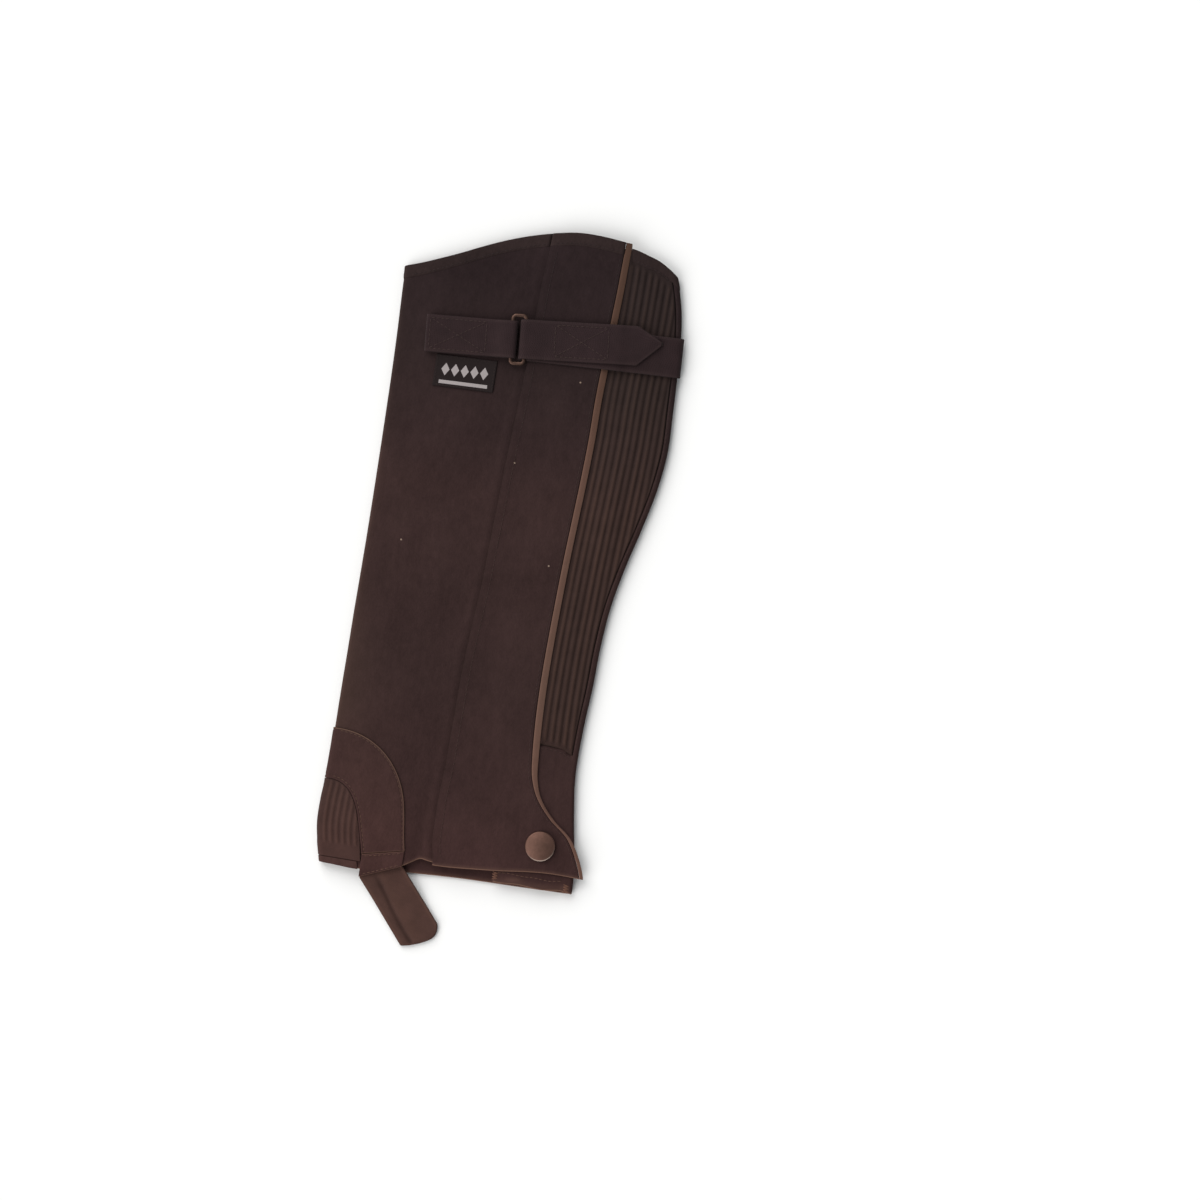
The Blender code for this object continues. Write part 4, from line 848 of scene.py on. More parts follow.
def calf_panel():
    """Below the elastic on the outer side, round the calf edge, to the inner seam."""
    side = shifted(elastic_end, GAP)
    outer = lines(shifted(zip_line, ZIP_OPENING), side, 22, (EDGE_RIM, 0))
    columns = outer + lines(side, calf_top, 6)[1:] + fold_lines(calf, -1)
    columns += lines(calf_top, shifted(inner_seam, GAP / 2), 14, (0, SEAM_RIM), under_column)
    below_elastic = [column for column, _ in outer[:-1]]

    def heights(column):
        return hem(column, hem_calf), below_binding(column, mouth_elastic)

    def kept(column, v):
        """Which cells are cloth: all but those in the elastic's place."""
        return (column not in below_elastic) | (v < meet(column, elastic_foot, FOOT_LEVEL) - 0.01)

    def full(column, v):
        """How full the wall is beside the elastic."""
        foot = meet(column, elastic_foot, FOOT_LEVEL)
        if column in below_elastic:
            return rim((foot - v) / SEAM_RIM)
        if column.side != "top":
            return 1.0
        return rim(np.hypot(column.across(v) - side(v), np.maximum(foot - v, 0)) / EDGE_RIM)

    def relief(column, v):
        """The hem rolls up a little, unevenly."""
        u = column.across(v)
        rolled_up = wavy(HEM_ROLL, u) * hill(v - hem_calf(u) - HEM_ROLL_UP, HEM_ROLL_WIDTH)
        return (column.side == "top") * rolled_up

    def tone(column, v):
        """The rolled hem is worn, unevenly."""
        u = column.across(v)
        lighter = wavy(HEM_TONE, u) * hill(v - hem_calf(u) - wavy(HEM_TONE_UP, u), HEM_TONE_WIDTH)
        return (column.side == "top") * lighter

    wall("calf_panel", "suede", columns, heights, (EDGE_RIM, EDGE_RIM), relief=relief,
         full=full, kept=kept, cut_edge=True, tone=tone)


def rib_waves(base, waves, v, number):
    """A base with waves along the ribs."""
    return sum((wave.swing * np.sin(v * wave.up + number * wave.each + wave.phase) for wave in waves), base)


def rib_wave(column, v):
    """Height and tone of the elastic's ribs, which run along the piping and out at the calf strip: crests
    worn paler, painted shade in the grooves.
    """
    u = column.across(v)
    phase = (u - piping_end(v) - RIB_START) / RIB_PITCH
    number = np.floor(phase)
    crest = np.abs(np.sin(math.pi * phase)) ** RIB_SHARP
    low, high = elastic_foot(u) + RIB_FOOT_OFF, mouth_elastic(u) - BAND_WIDTH - RIB_HEAD_OFF
    ends = ease((v - low) / RIB_END_RUN) * ease((high - v) / RIB_END_RUN)
    ends = ends * ease((elastic_end(v) - u) / RIB_SIDE_RUN) * (phase > 0)
    uneven, wear = rib_waves(1, RIB_UNEVEN, v, number), rib_waves(RIB_WORN, RIB_WEAR, v, number)
    # Paler worn crests, and painted shade in the grooves
    tone = (crest - 0.5) * np.where(crest > 0.5, RIB_CREST_TONE * wear, RIB_GROOVE_SHADE)
    shoulder = swell(RIB_SHOULDER, u - beside_piping(v))
    return (RIB_RELIEF * crest * uneven - RIB_DROP) * ends + shoulder, tone * ends


def elastic_panel():
    """Ribbed elastic beside the piping."""
    columns = lines(shifted(zip_line, ZIP_OPENING), shifted(piping_end, RIB_START), 6, (EDGE_RIM, 0))
    for k in range(1, RIBS * STEPS_PER_RIB + 1):
        off = RIB_START + RIB_PITCH * k / STEPS_PER_RIB
        rib = top_column(lambda v, off=off: np.minimum(piping_end(v) + off, elastic_end(v)))
        columns.append((rib, 1.0))

    def heights(column):
        return meet(column, elastic_foot, FOOT_LEVEL) + GAP, below_binding(column, mouth_elastic)

    wall("elastic_panel", "elastic", columns, heights, (SEAM_RIM, EDGE_RIM),
         relief=lambda column, v: rib_wave(column, v)[0], tone=lambda column, v: rib_wave(column, v)[1],
         full=lambda column, v: rim((elastic_end(v) - column.across(v)) / EDGE_RIM))


def flap():
    """The cover over the zip, with a tab that swings out to the calf edge at the hem."""
    columns = lines(shifted(seam, GAP), shifted(flap_edge, -SLIT), 34, (FLAP_RIM, EDGE_RIM))

    def tone(column, v):
        """Painted shade beside the seam."""
        return rolled(FLAP_SEAM_SHADE, column.across(v), v)

    wall("flap", "suede", columns, lambda column: (hem(column, hem_flap), below_binding(column)),
         (EDGE_RIM, EDGE_RIM), GAP, cut_edge=True, tone=tone,
         relief=lambda column, v: rolled(FLAP_ROLL, column.across(v), v))


def rings_mesh(name, rings, surface, node, closed=False, tone=0.0):
    """A tube through rings of points, capped at both ends unless it closes on itself."""
    rings = np.asarray(rings, float)
    count, sides = rings.shape[:2]
    index = np.arange(count * sides).reshape(count, sides)
    after = np.roll(index, -1, axis=0) if closed else index[1:]
    before = index if closed else index[:-1]
    corners = before, np.roll(before, -1, 1), np.roll(after, -1, 1), after
    faces = np.stack(corners, -1).reshape(-1, 4).tolist()
    if not closed:
        faces += [index[0].tolist(), index[-1].tolist()]
    girth = np.cumsum(np.linalg.norm(rings - np.roll(rings, 1, axis=1), axis=-1), axis=1)
    lay = np.stack([girth * MM, lengths(rings) * MM, tone + 0 * girth], -1)
    return make_object(name, rings.reshape(-1, 3), faces, surface, node, lay.reshape(-1, 3))


def ribbon(node, rings, surface, width):
    """A narrow strip through rings, with its width and its length along their middle worked out."""
    piece = rings_mesh(node + "_cloth", rings, surface, node)
    length = float(lengths(np.mean(rings, axis=1))[-1]) * MM
    declare((width * MM, length), width * MM * length)


def piping():
    """Flat folded piping on the flap's free edge."""
    free_edge = top_column(flap_edge)
    low, high = meet(free_edge, hem_flap, LOW_START), meet(free_edge, mouth_outer, HIGH_START) - 0.2
    angles = np.linspace(0, 2 * math.pi, PIPING_SIDES, endpoint=False)
    waves = np.cos(angles), np.sin(angles)
    cosines, sines = (np.sign(wave) * np.abs(wave) ** PIPING_BOX / 2 for wave in waves)
    rings = []
    places = low + (high - low) * np.linspace(0, 1, PIPING_ROWS)
    for k, v in enumerate(places):
        width = piping_form(v)
        whole = float(rim((min(k, PIPING_ROWS - 1 - k) + 0.2) / 2))
        shrink = PIPING_END + (1 - PIPING_END) * whole
        off = cosines * width * shrink
        u = flap_edge(v) + SLIT + width / 2 * shrink + off
        thick = (PIPING_TOP - GAP) * (1 - PIPING_SLOPE * ease(off / width + 0.5))
        rings.append(on_top(u, v + 0 * u, GAP + thick / 2 + sines * thick * shrink))
    ribbon("piping", rings, "piping", PIPING_CUT)


def binding(node, columns, outer_edge, lift):
    """A strip over a cut edge: a leg down the outer face and a cap to the inner face."""
    rings = []
    for k, (column, full) in enumerate(columns):
        top, face = float(mouth(column, outer_edge)), lift - (1 - full) * WALL / 2
        ends = {"top": top, "foot": top - BAND_WIDTH, "cap": top - BINDING}
        sides = {"inner": lift - GAP - WALL, "outer": face + BAND_THICK, "face": face}
        pucker = float(wavy(BINDING_PUCKER, k))
        rings.append([column.point(np.float64(ends[spot.end] + spot.rise),
                                   sides[spot.side] + spot.off + spot.puckered * pucker)
                      for spot in BINDING_SECTION])
    ribbon(node, rings, "binding", BAND_WIDTH + BAND_THICK + GAP + WALL)


def mouth_bindings():
    """The bindings of the mouth: round the shin edge, on the flap and on the elastic."""
    columns = lines(shifted(seam, -SLIT), shin_top, 40) + fold_lines(front, 1, 7)
    columns += lines(shin_top, calf_top, 70, make=under_column)
    binding("top_binding", columns, mouth_outer, GAP)
    columns = lines(shifted(seam, SLIT), shifted(flap_edge, -SLIT), 26, (FLAP_RIM, 0))
    binding("flap_binding", columns, mouth_outer, FLAP_TOP + GAP)
    columns = lines(beside_piping, calf_top, 20) + fold_lines(calf, -1, 7)[:5]
    binding("elastic_binding", columns, mouth_elastic, GAP)


def beside_shin(make_column, off):
    return make_column(shifted(shin_top, off))


def quarter(shape, angle):
    """A point of a rounded quarter: its distance from the shin edge, and its height."""
    power = 2 / QUARTER_POWER
    return shape.width * math.cos(angle) ** power, shape.base + shape.height * math.sin(angle) ** power


def quarter_top(shape, off):
    """Height of a rounded quarter's edge at a distance from the shin edge."""
    share = np.clip(1 - (off / shape.width) ** QUARTER_POWER, 0, 1)
    return shape.base + shape.height * share ** (1 / QUARTER_POWER)


def gusset_spots(share, count=36):
    """(column, height, distance from the patch's foot) at a share of the way from its inset to its edge."""
    hole = Quarter(INSET.width + GAP, INSET.height + GAP, INSET.base)
    angles = [0.0, 0.02, 0.08, 0.25, 0.6] + [90.0 * k / count for k in range(1, count)] + [89.99]
    places = []
    for angle in np.radians(angles):
        near, far = quarter(hole, angle), quarter(GUSSET, angle)
        places.append([near[i] + (far[i] - near[i]) * share for i in (0, 1)])
    foot, peak = places[0][1], places[-1][1]
    spots = [(beside_shin(top_column, off), v, v - foot) for off, v in places]
    spots += [(fold_column(front, 1, degrees), peak, peak) for degrees in range(20, 180, 20)]
    return spots + [(beside_shin(under_column, off), v, v - foot) for off, v in reversed(places)]


def gusset_patch():
    """Suede reinforcement round the instep, with a groove where each row of stitches pulls it in."""
    near = [0.0, 0.002, 0.006, 0.013, 0.025, 0.035, 0.045, 0.055, 0.065, 0.08]
    shares = near + [0.08 + 0.84 * k / 16 for k in range(1, 16)] + [1 - share for share in reversed(near)]

    def place(lane, k):
        share, spots = lane
        column, v, foot = spots[k]
        full = rim(min(share, 1 - share) / GUSSET_EDGE) * rim(foot / THIN_RIM)
        groove = max(hill(share - row, GUSSET_ROW_WIDTH) for row in (GUSSET_OUTER_ROW, GUSSET_INNER_ROW))
        outer, inner = both_faces(GAP, BINDING, full)
        over = column.point(np.float64(v), outer - STITCH_GROOVE * groove * full)
        pale = max(GUSSET_EDGE_TONE * ramp_down(1 - share, GUSSET_EDGE),
                   GUSSET_FOOT_TONE * np.clip(1.2 - foot / GUSSET_FOOT_EDGE, 0, 1))
        return over, column.point(np.float64(v), inner), pale

    lanes = [(share, gusset_spots(share)) for share in shares]
    layers = grid(lanes, range(len(lanes[0][1])), place)
    cloth("gusset_patch_cloth", "gusset_patch", "suede_patch", layers, flat=GUSSET_FLAT)


def gusset_elastic():
    """The ribbed inset, plain near the hem and on the inner side."""
    width = INSET.width - GAP
    offsets = width - np.concatenate([[0, 0.15, 0.4], np.arange(0.8, width, 0.5)])

    def side(make_column, places):
        return [(beside_shin(make_column, off), float(rim((width - off) / THIN_RIM))) for off in places]

    columns = side(top_column, offsets) + fold_lines(front, 1, 9) + side(under_column, offsets[::-1])

    def heights(column):
        off = float(np.clip(column.across(20.0) - shin_top(20.0), 0, width))
        low = INSET.base if off > INSET.width - 1 else HEM_BAND + GAP
        return low, float(quarter_top(INSET, off))

    def relief(column, v):
        off = np.maximum(column.across(v) - shin_top(v), 0)
        wave = 0.5 - 0.5 * np.cos(2 * math.pi * off / INSTEP_PITCH)
        ends = ease((v - INSTEP_RIB_FOOT) / INSTEP_FOOT_RUN + 0.5)
        ends = ends * ease((quarter_top(INSET, off) - v) / INSTEP_HEAD_RUN)
        return (column.side != "under") * (INSTEP_RELIEF * wave - INSTEP_DROP) * ends

    # Painted light on the ribs' tops and painted shade in the grooves between them
    wall("gusset_elastic", "instep", columns, heights, (FINE_RIM, FINE_RIM), GAP, BINDING,
         relief, tone=lambda column, v: relief(column, v) * INSTEP_PAINTED_SHADING)


def gusset_hem():
    """The binding of the hem below the inset."""
    end = shifted(shin_top, HEM_BAND_WIDTH)
    columns = lines(end, shin_top, 24, (FINE_RIM, 0)) + fold_lines(front, 1, 9)
    columns += lines(shin_top, end, 24, (0, FINE_RIM), under_column)

    def heights(column):
        return meet(column, hem_panel, LOW_START) - GAP, HEM_BAND

    wall("gusset_hem", "binding", columns, heights, (0.5, 0.5), GAP, BINDING)


def between(first, last, radius, share, off):
    """A place at a share of the way between two edges, and off it within their rims."""
    return first + radius + (last - first - 2 * radius) * share + off


def foot_tab(node, make_column, sag):
    """A suede tab over the hem that holds the foot strap."""
    left, right = FOOT_TAB

    def place(lane, row):
        u = between(left.across, right.across, THIN_RIM, lane[0], lane[1])
        share = (u - left.across) / (right.across - left.across)
        low, high = left.low + (right.low - left.low) * share, left.high + (right.high - left.high) * share
        v = between(low, high, THIN_RIM, row[0], row[1])
        edge = float(hem_panel(u))
        past_hem = min(v - edge, 0.0)
        move = np.array((0, past_hem, -sag * float(ease(-past_hem / FOOT_TAB_DROP_RUN))))
        column, height = make_column(lambda v: u + 0 * v), np.float64(max(v, edge))
        over, below = (column.point(height, out) + move for out in both_faces(GAP, BINDING, lane[2] * row[2]))
        return over, below, 0.6 * ramp_down(THIN_RIM - abs(row[1]), 0.3) if row[1] else 0.0

    layers = grid(even_steps(THIN_RIM, 26), even_steps(THIN_RIM, 16), place)
    cloth(node + "_cloth", node, "suede_patch", layers)


def straight_plan(start, end):
    """A plan line: its spot and its direction at a place across."""
    start, end = np.array(start), np.array(end)
    ahead = (end - start) / np.linalg.norm(end - start)
    return lambda across: (start + ahead * ((across - start[0]) / ahead[0]), ahead)


def strap(node, profile, plan, half_width):
    """Webbing along a side profile of (along, height) points, laid on a plan line."""
    profile = np.array(profile, float)
    whole = lengths(profile)
    length = np.linspace(0, whole[-1], int(whole[-1] / STRAP_STEP) + 1)
    places = np.stack([line("length place", *zip(whole, profile[:, k]))(length) for k in (0, 1)], -1)
    bend = int(np.argmin(places[:, 0]))
    tangent = np.gradient(places, axis=0)
    tangent /= np.linalg.norm(tangent, axis=1)[:, None]

    def place(lane, k):
        spot, ahead = plan(places[k, 0], k - bend)
        side = np.array((-ahead[1], ahead[0], 0))
        facing = np.array((-ahead[0] * tangent[k, 1], -ahead[1] * tangent[k, 1], tangent[k, 0]))
        half, rise = half_width(length[k])
        across = (2 * lane[0] - 1) * max(half - THIN_RIM, STRAP_LEAST_HALF) + lane[1]
        inside = half - abs(across)
        end = float(rim(min(length[k], length[-1] - length[k]) / EDGE_RIM))
        up = facing * WEBBING / 2 * lane[2] * end * (1 + swell(SELVEDGE_ROLL, inside))
        middle = np.array((*spot, places[k, 1])) + side * (across + rise)
        return middle + up, middle - up, swell(SELVEDGE_WEAR, inside)

    layers = grid(even_steps(THIN_RIM, 26), range(len(places)), place)
    cloth(node + "_webbing", node, "webbing", layers)


def loop_turn(middle, way, count=8):
    """A half turn from above to below a bar, as (along, height) points."""
    level = PANEL_TOP + BAR_MIDDLE
    return [(middle + way * TURN_ACROSS * math.sin(angle), level + TURN_UP * math.cos(angle))
            for angle in (math.pi * k / count for k in range(count + 1))]


def strap_ring():
    """A rectangular wire ring, its two long bars across the strap."""
    half_short = (RIGHT_BAR - LEFT_BAR) / 2
    right = Vector((math.cos(RING_SKEW), math.sin(RING_SKEW), 0))
    up = Vector((-right.y, right.x, 0))
    middle = RING_MIDDLE + Vector((0, 0, PANEL_TOP + BAR_MIDDLE))
    rings = []
    for sign_x, sign_y, turn in ((1, 1, 0), (-1, 1, 90), (-1, -1, 180), (1, -1, 270)):
        bend = middle + right * (sign_x * (half_short - RING_CORNER))
        bend += up * (sign_y * (RING_HALF_LONG - RING_CORNER))
        for angle in (math.radians(turn + step) for step in range(0, 91, 9)):
            side = right * math.cos(angle) + up * math.sin(angle)
            ring = []
            for wire in (math.radians(22.5 * k) for k in range(16)):
                reach = RING_CORNER + RING_WIRE / 2 * math.cos(wire)
                rise = Vector((0, 0, RING_THICK / 2 * math.sin(wire)))
                ring.append(tuple(bend + side * reach + rise))
            rings.append(ring)
    rings_mesh("strap_ring_wire", rings, "ring", "strap_ring", closed=True)


def strap_tab():
    """Doubled webbing, sewn to the panel, whose loop holds the ring."""
    over = (16.4, TAB_HIGH), (40, TAB_HIGH), (56, TAB_HIGH), (61, TAB_HIGH + 0.6), (66, UPPER_PLY - 0.5)
    under = (66, LOWER_PLY - 0.3), (61, TAB_LOW), (40, TAB_LOW), (18.4, TAB_LOW)
    over, under = ([(along, PANEL_TOP + height) for along, height in ply] for ply in (over, under))
    plan = straight_plan(*TAB_LINE)
    strap("strap_tab", over + loop_turn(LEFT_BAR, 1) + under, lambda along, past_bend: plan(along),
          lambda length: (TAB_WIDTH / 2, 0.0))


def strap_over(rows, ply):
    """Side profile of a ply of the calf strap, as (across, height) points."""
    floors = {"flap": FLAP_TOP, "piping": PIPING_TOP, "ribs": RIB_HEIGHT}
    profile = []
    for row in rows:
        floor = float(outer_face(row.across, STRAP_LEVEL)) + floors[row.on] + STACK_GAP
        profile.append((row.across, floor + WEBBING / 2 + ply * (WEBBING + GAP) + row.above))
    return profile


def calf_strap():
    """Webbing from the calf edge, over the flap, round the ring's bar and back, with a pointed tip."""
    upper = [(84, PANEL_TOP + UPPER_PLY - 0.2)] + strap_over(STRAP_UPPER, 1)
    radius = FOLD_RADIUS + STACK_GAP + WEBBING / 2 + GAP
    middle = float(calf(STRAP_LEVEL)) - FOLD_RADIUS
    fold = [(middle + radius * math.sin(angle), REST + FOLD_RADIUS + radius * math.cos(angle))
            for angle in (math.radians(degrees) for degrees in (10, 35, 60, 85))]
    high_plan, low_plan = straight_plan(*STRAP_HIGH_LINE), straight_plan(*STRAP_LOW_LINE)

    def plan(along, past_bend):
        share = float(ease(past_bend / STRAP_SWING + 0.5))
        (first, first_ahead), (second, second_ahead) = high_plan(along), low_plan(along)
        ahead = first_ahead + (second_ahead - first_ahead) * share
        return first + (second - first) * share, ahead / np.linalg.norm(ahead)

    def half_width(length):
        share = min(length / STRAP_POINT, 1.0)
        return STRAP_WIDTH / 2 * (STRAP_TIP + (1 - STRAP_TIP) * share), STRAP_POINT_RISE * (1 - share)

    profile = upper[::-1] + loop_turn(RIGHT_BAR, -1) + strap_over(STRAP_LOWER, 0) + fold
    strap("calf_strap", profile, plan, half_width)


def foot_strap():
    """Elastic strap under the foot: both its ends go in at the hem, its loop is pressed flat."""
    half = FOOT_THICK / 2
    turn = GAP / 2 + half
    inside_low = REST + WALL + GAP + half
    inside_high = inside_low + FOOT_THICK + GAP

    def crease(lane, share):
        """Depth of the strap's crease along it."""
        off = lane - (FOOT_CREASE_LANE - FOOT_CREASE_LEAN * float(ease(share * FOOT_CREASE_RATE)))
        depth = FOOT_CREASE_DEPTH * hill(off, FOOT_CREASE_WIDTH) * float(ease(share * FOOT_CREASE_RISE))
        return depth - swell(FOOT_RIDGE, off)

    def straight(share, way, inside, flat, end):
        """A row of a ply at a share of its reach: way is 1 for the upper ply and -1 for the lower."""
        def place(lane, full):
            spot = FOOT_START + FOOT_SIDE * lane
            if share < 0:
                inner = FOOT_INSIDE.height + FOOT_INSIDE_SLOPE * (spot[0] - FOOT_INSIDE.across)
                spot = np.array((spot[0], spot[1] + (inner - spot[1]) * -share))
            else:
                spot = spot + FOOT_ALONG * ((foot_reach(lane) - FOOT_THICK - GAP) * share)
            outside = float(hem_under(spot[0])) - spot[1]
            settled = float(ease((outside - FOOT_SETTLE[0]) / (FOOT_SETTLE[1] - FOOT_SETTLE[0])))
            height = inside + (flat - inside) * settled
            dip = crease(lane, max(share, 0)) if way == 1 else 0.0
            thick = way * half * full * end
            selvedge = swell(FOOT_SELVEDGE, min(lane, FOOT_WIDTH - lane)) if way == 1 else 0.0
            over = (*spot, height + thick - FOOT_CREASE_SINK * dip)
            # Paler selvedges, and painted shade in the crease
            return over, (*spot, height - thick), selvedge - FOOT_CREASE_SHADE * dip
        return place

    def turned_row(angle):
        """A row round the loop's end."""
        def place(lane, full):
            points = []
            for radius in (turn + half * full, turn - half * full):
                distance = foot_reach(lane) - FOOT_THICK - GAP + radius * math.cos(angle)
                spot = FOOT_START + FOOT_SIDE * lane + FOOT_ALONG * distance
                points.append((*spot, half + turn + radius * math.sin(angle)))
            return (*points, FOOT_LOOP_TONE)
        return place

    shares = [*FOOT_INSIDE_SHARES] + [k / FOOT_ROWS for k in range(FOOT_ROWS + 1)]
    ends = [*FOOT_END_SHARES] + [1.0] * (len(shares) - len(FOOT_END_SHARES))
    rows = [straight(share, 1, inside_high, half + 2 * turn, end) for share, end in zip(shares, ends)]
    rows += [turned_row(math.radians(90 - 15 * k)) for k in range(1, 12)]
    rows += [straight(share, -1, inside_low, half, end) for share, end in zip(shares[::-1], ends[::-1])]
    lanes = [(between(0, FOOT_WIDTH, THIN_RIM, share, off), full)
             for share, off, full in even_steps(THIN_RIM, 28)]
    layers = grid(lanes, rows, lambda lane, row: row(*lane))
    cloth("foot_strap_elastic", "foot_strap", "foot_elastic", layers)


def label():
    """A small woven label below the strap's tab."""
    def place(lane, row):
        u = between(LABEL_CORNER.across, LABEL_CORNER.across + LABEL_WIDTH, FINE_RIM, lane[0], lane[1])
        foot = LABEL_CORNER.height + LABEL_RISE * (u - LABEL_CORNER.across) / LABEL_WIDTH
        v = between(foot, foot + LABEL_HEIGHT, FINE_RIM, row[0], row[1])
        outer, inner = both_faces(GAP, LABEL_THICK, lane[2] * row[2])
        return on_top(u, v, outer), on_top(u, v, inner), 0.0

    layers = grid(even_steps(FINE_RIM, 40), even_steps(FINE_RIM, 24), place)
    cloth("label_woven", "label", "label", layers)


def turned(place, base, profile, count=72):
    """Side profiles of (radius, height) points turned round a place, one for each angle."""
    angles = np.linspace(0, 2 * math.pi, count, endpoint=False)
    rings = [[(place[0] + r * math.cos(angle), place[1] + r * math.sin(angle), base + z) for r, z in profile]
             for angle in angles]
    return angles, np.array(rings)


def snap_cap():
    """The snap on the flap's tab, with a painted highlight on the rim that faces the hem."""
    profile = [(8.6, 0.0), (9.3, 0.1), (9.6, 0.5), (9.6, 0.9), (9.45, 1.3), (9.15, 1.6), (8.8, 1.7)]
    profile += [(r, 1.68 + CAP_CROWN * (1 - (r / CAP_RADIUS) ** 2))
                for r in (8.6, 8.2, 7.2, 6.0, 4.8, 3.6, 2.4, 1.2, 0.3)]
    angles, rings = turned(SNAP_PLACE, float(outer_face(*SNAP_PLACE)) + FLAP_TOP + GAP, profile)
    off = np.remainder(angles - CAP_HIGHLIGHT_TOWARD + math.pi, 2 * math.pi) - math.pi
    radii = np.array(profile)[:, :1]
    # Painted highlight on the rim, towards the hem
    tone = 1.2 * hill(radii - CAP_RIM, 0.3) * hill(off, CAP_HIGHLIGHT_WIDTH)
    rings_mesh("snap_cap_metal", np.swapaxes(rings, 0, 1), "metal", "snap_cap", tone=tone)


def snap_back():
    """The small brass ring inside the mouth."""
    profile = [(4.0, -0.9), (4.0, -0.15), (3.8, 0), (1.6, 0), (1.4, -0.2), (1.5, -0.8), (2.0, -1.15),
               (2.7, -1.25), (3.4, -1.2), (3.85, -1.1)]
    _, rings = turned(SNAP_BACK_PLACE, float(outer_face(*SNAP_BACK_PLACE)) - WALL - GAP, profile)
    rings_mesh("snap_back_brass", rings, "brass", "snap_back", closed=True)


def grip_spot(share, along):
    """A place of the grip patch: along runs across it, share runs up it."""
    level = GRIP_FOOT + (GRIP_HEAD - GRIP_FOOT) * share
    left, right = front(level) + GRIP_FRONT, calf(level) - GRIP_INSET
    u = left + (right - left) * along
    bend = max(0.0, 1 - (right - u) / GRIP_CORNER)
    low = GRIP_FOOT + GRIP_CORNER * (1 - math.sqrt(1 - bend * bend))
    return u, low + (mouth_under(u) - BAND_WIDTH - GAP - low) * share


def grip_patch():
    """Suede reinforcement on the inner side, above the calf."""
    side, end = GRIP_EDGES

    def place(lane, row):
        up, across = between(0, 1, end, row[0], row[1]), between(0, 1, side, lane[0], lane[1])
        u, v = grip_spot(up, across)
        full = lane[2] * row[2]
        middle = BINDING / 2 + float(under_face(u, v)) - REST
        groove = max(hill(across - GRIP_RIGHT_ROW, 0.006), hill(across - GRIP_LEFT_ROW, 0.006),
                     hill(up - GRIP_FOOT_ROW, 0.005))
        below = middle - BINDING / 2 * full + STITCH_GROOVE * groove * full
        return (u, v, below), (u, v, middle + BINDING / 2 * full), 0.0

    layers = grid(even_steps(side, 54), even_steps(end, 70), place)
    cloth("grip_patch_cloth", "grip_patch", "suede_patch", layers)


def zip_pieces():
    """The zip under the flap: tapes, two rows of teeth, a slider and its pull."""
    low, high = ZIP_FOOT.height + TAPE_FOOT, ZIP_HEAD.height - TAPE_HEAD
    for node, way in (("zip_tape_left", -1), ("zip_tape_right", 1)):
        inner, outer = (shifted(zip_line, way * off) for off in (CHAIN_HALF + GAP, ZIP_TAPE))
        wall(node, "tape", lines(inner, outer, 6, (TAPE_RIM, TAPE_RIM)), lambda column: (low, high),
             (TAPE_RIM, TAPE_RIM), -WALL - GAP - ZIP_TAPE_THICK, ZIP_TAPE_THICK)
    corners = (-0.5, -1), (0.5, -1), (0.5, 1), (-0.5, 1)
    block = [(x, y, z) for z in (0, 1) for x, y in corners]
    sides = [(0, 1, 2, 3), (7, 6, 5, 4), (0, 4, 5, 1), (1, 5, 6, 2), (2, 6, 7, 3), (3, 7, 4, 0)]
    points, faces = [], []
    for k in range(int((high - low) / TOOTH_PITCH * 2)):
        v = low + 0.5 + k * TOOTH_PITCH / 2
        middle = zip_line(v) + (TOOTH_OFF if k % 2 else -TOOTH_OFF)
        floor = float(outer_face(middle, v)) - WALL - CHAIN_DEPTH
        faces += [tuple(end + len(points) for end in ends) for ends in sides]
        points += [(middle + x * TOOTH_LONG * (1 - TOOTH_TAPER * z), v + y * TOOTH_HALF,
                    floor + z * CHAIN_DEPTH) for x, y, z in block]
    make_object("zip_teeth", points, faces, "brass", "zip_chain", np.zeros((len(points), 3)))
    top = ZIP_HEAD.height - SLIDER_DROP
    for node, half, long in (("zip_slider", SLIDER_HALF, SLIDER_LONG), ("zip_pull", PULL_HALF, PULL_LONG)):
        rings = []
        for share in np.linspace(0, 1, 13):
            v = top - long * (1 - share)
            width = half * (SLIDER_ENDS + (1 - SLIDER_ENDS) * float(rim(min(share, 1 - share) * 6)))
            z = float(outer_face(zip_line(v), v)) + GAP - WALL
            rings.append([(zip_line(v) + x * width, v, z + y) for x, y in SLIDER_SECTION])
        rings_mesh(node + "_metal", rings, "metal", node)
        top -= SLIDER_LONG + STACK_GAP


UP, DOWN = (0, 0, 1), (0, 0, -1)
STITCH_SINK, BAND_SINK = 0.33, 0.24     # how far stitches pull into a doubled edge, and into a binding
# How far each row of stitches lies from the edge that it follows
FLAP_ROW, FREE_EDGE_ROW, BAND_ROW, ELASTIC_ROW = 5.4, -2.0, 1.7, -1.8
CALF_ROW, INNER_ROW, TAB_ROW, TAB_STRAP_ROW, STRAP_ROW, LABEL_ROW = -2.6, 2.2, 1.3, 2.2, 2.6, 1.0
HEM_ROW = Wave(6.4, -0.5, 0.3, 0.0)
# Where the rows start and end: the boxes and the calf panel's hem across the leg, the others up it
TAB_BOX, STRAP_BOX, HEM_SPAN = (19.0, 55.0), (99.0, 133.0), (112.0, 158.0)
EDGE_SPAN, CALF_SPAN, INNER_SPAN = (18, 412), (96, 396), (6, 392)
TACK_STEP, TACK_SLANT, TACK_LIFT = 0.8, 1.1, 0.1
STITCH_SIDES = 6
# A stitch's form: shares of its length and of its thread's thickness, and its height
STITCH_FORM = table("along fat rise", (0.0, 0.25, -0.20), (0.12, 0.85, 0.0), (0.5, 1.0, 0.10),
                    (0.88, 0.85, 0.0), (1.0, 0.25, -0.20))


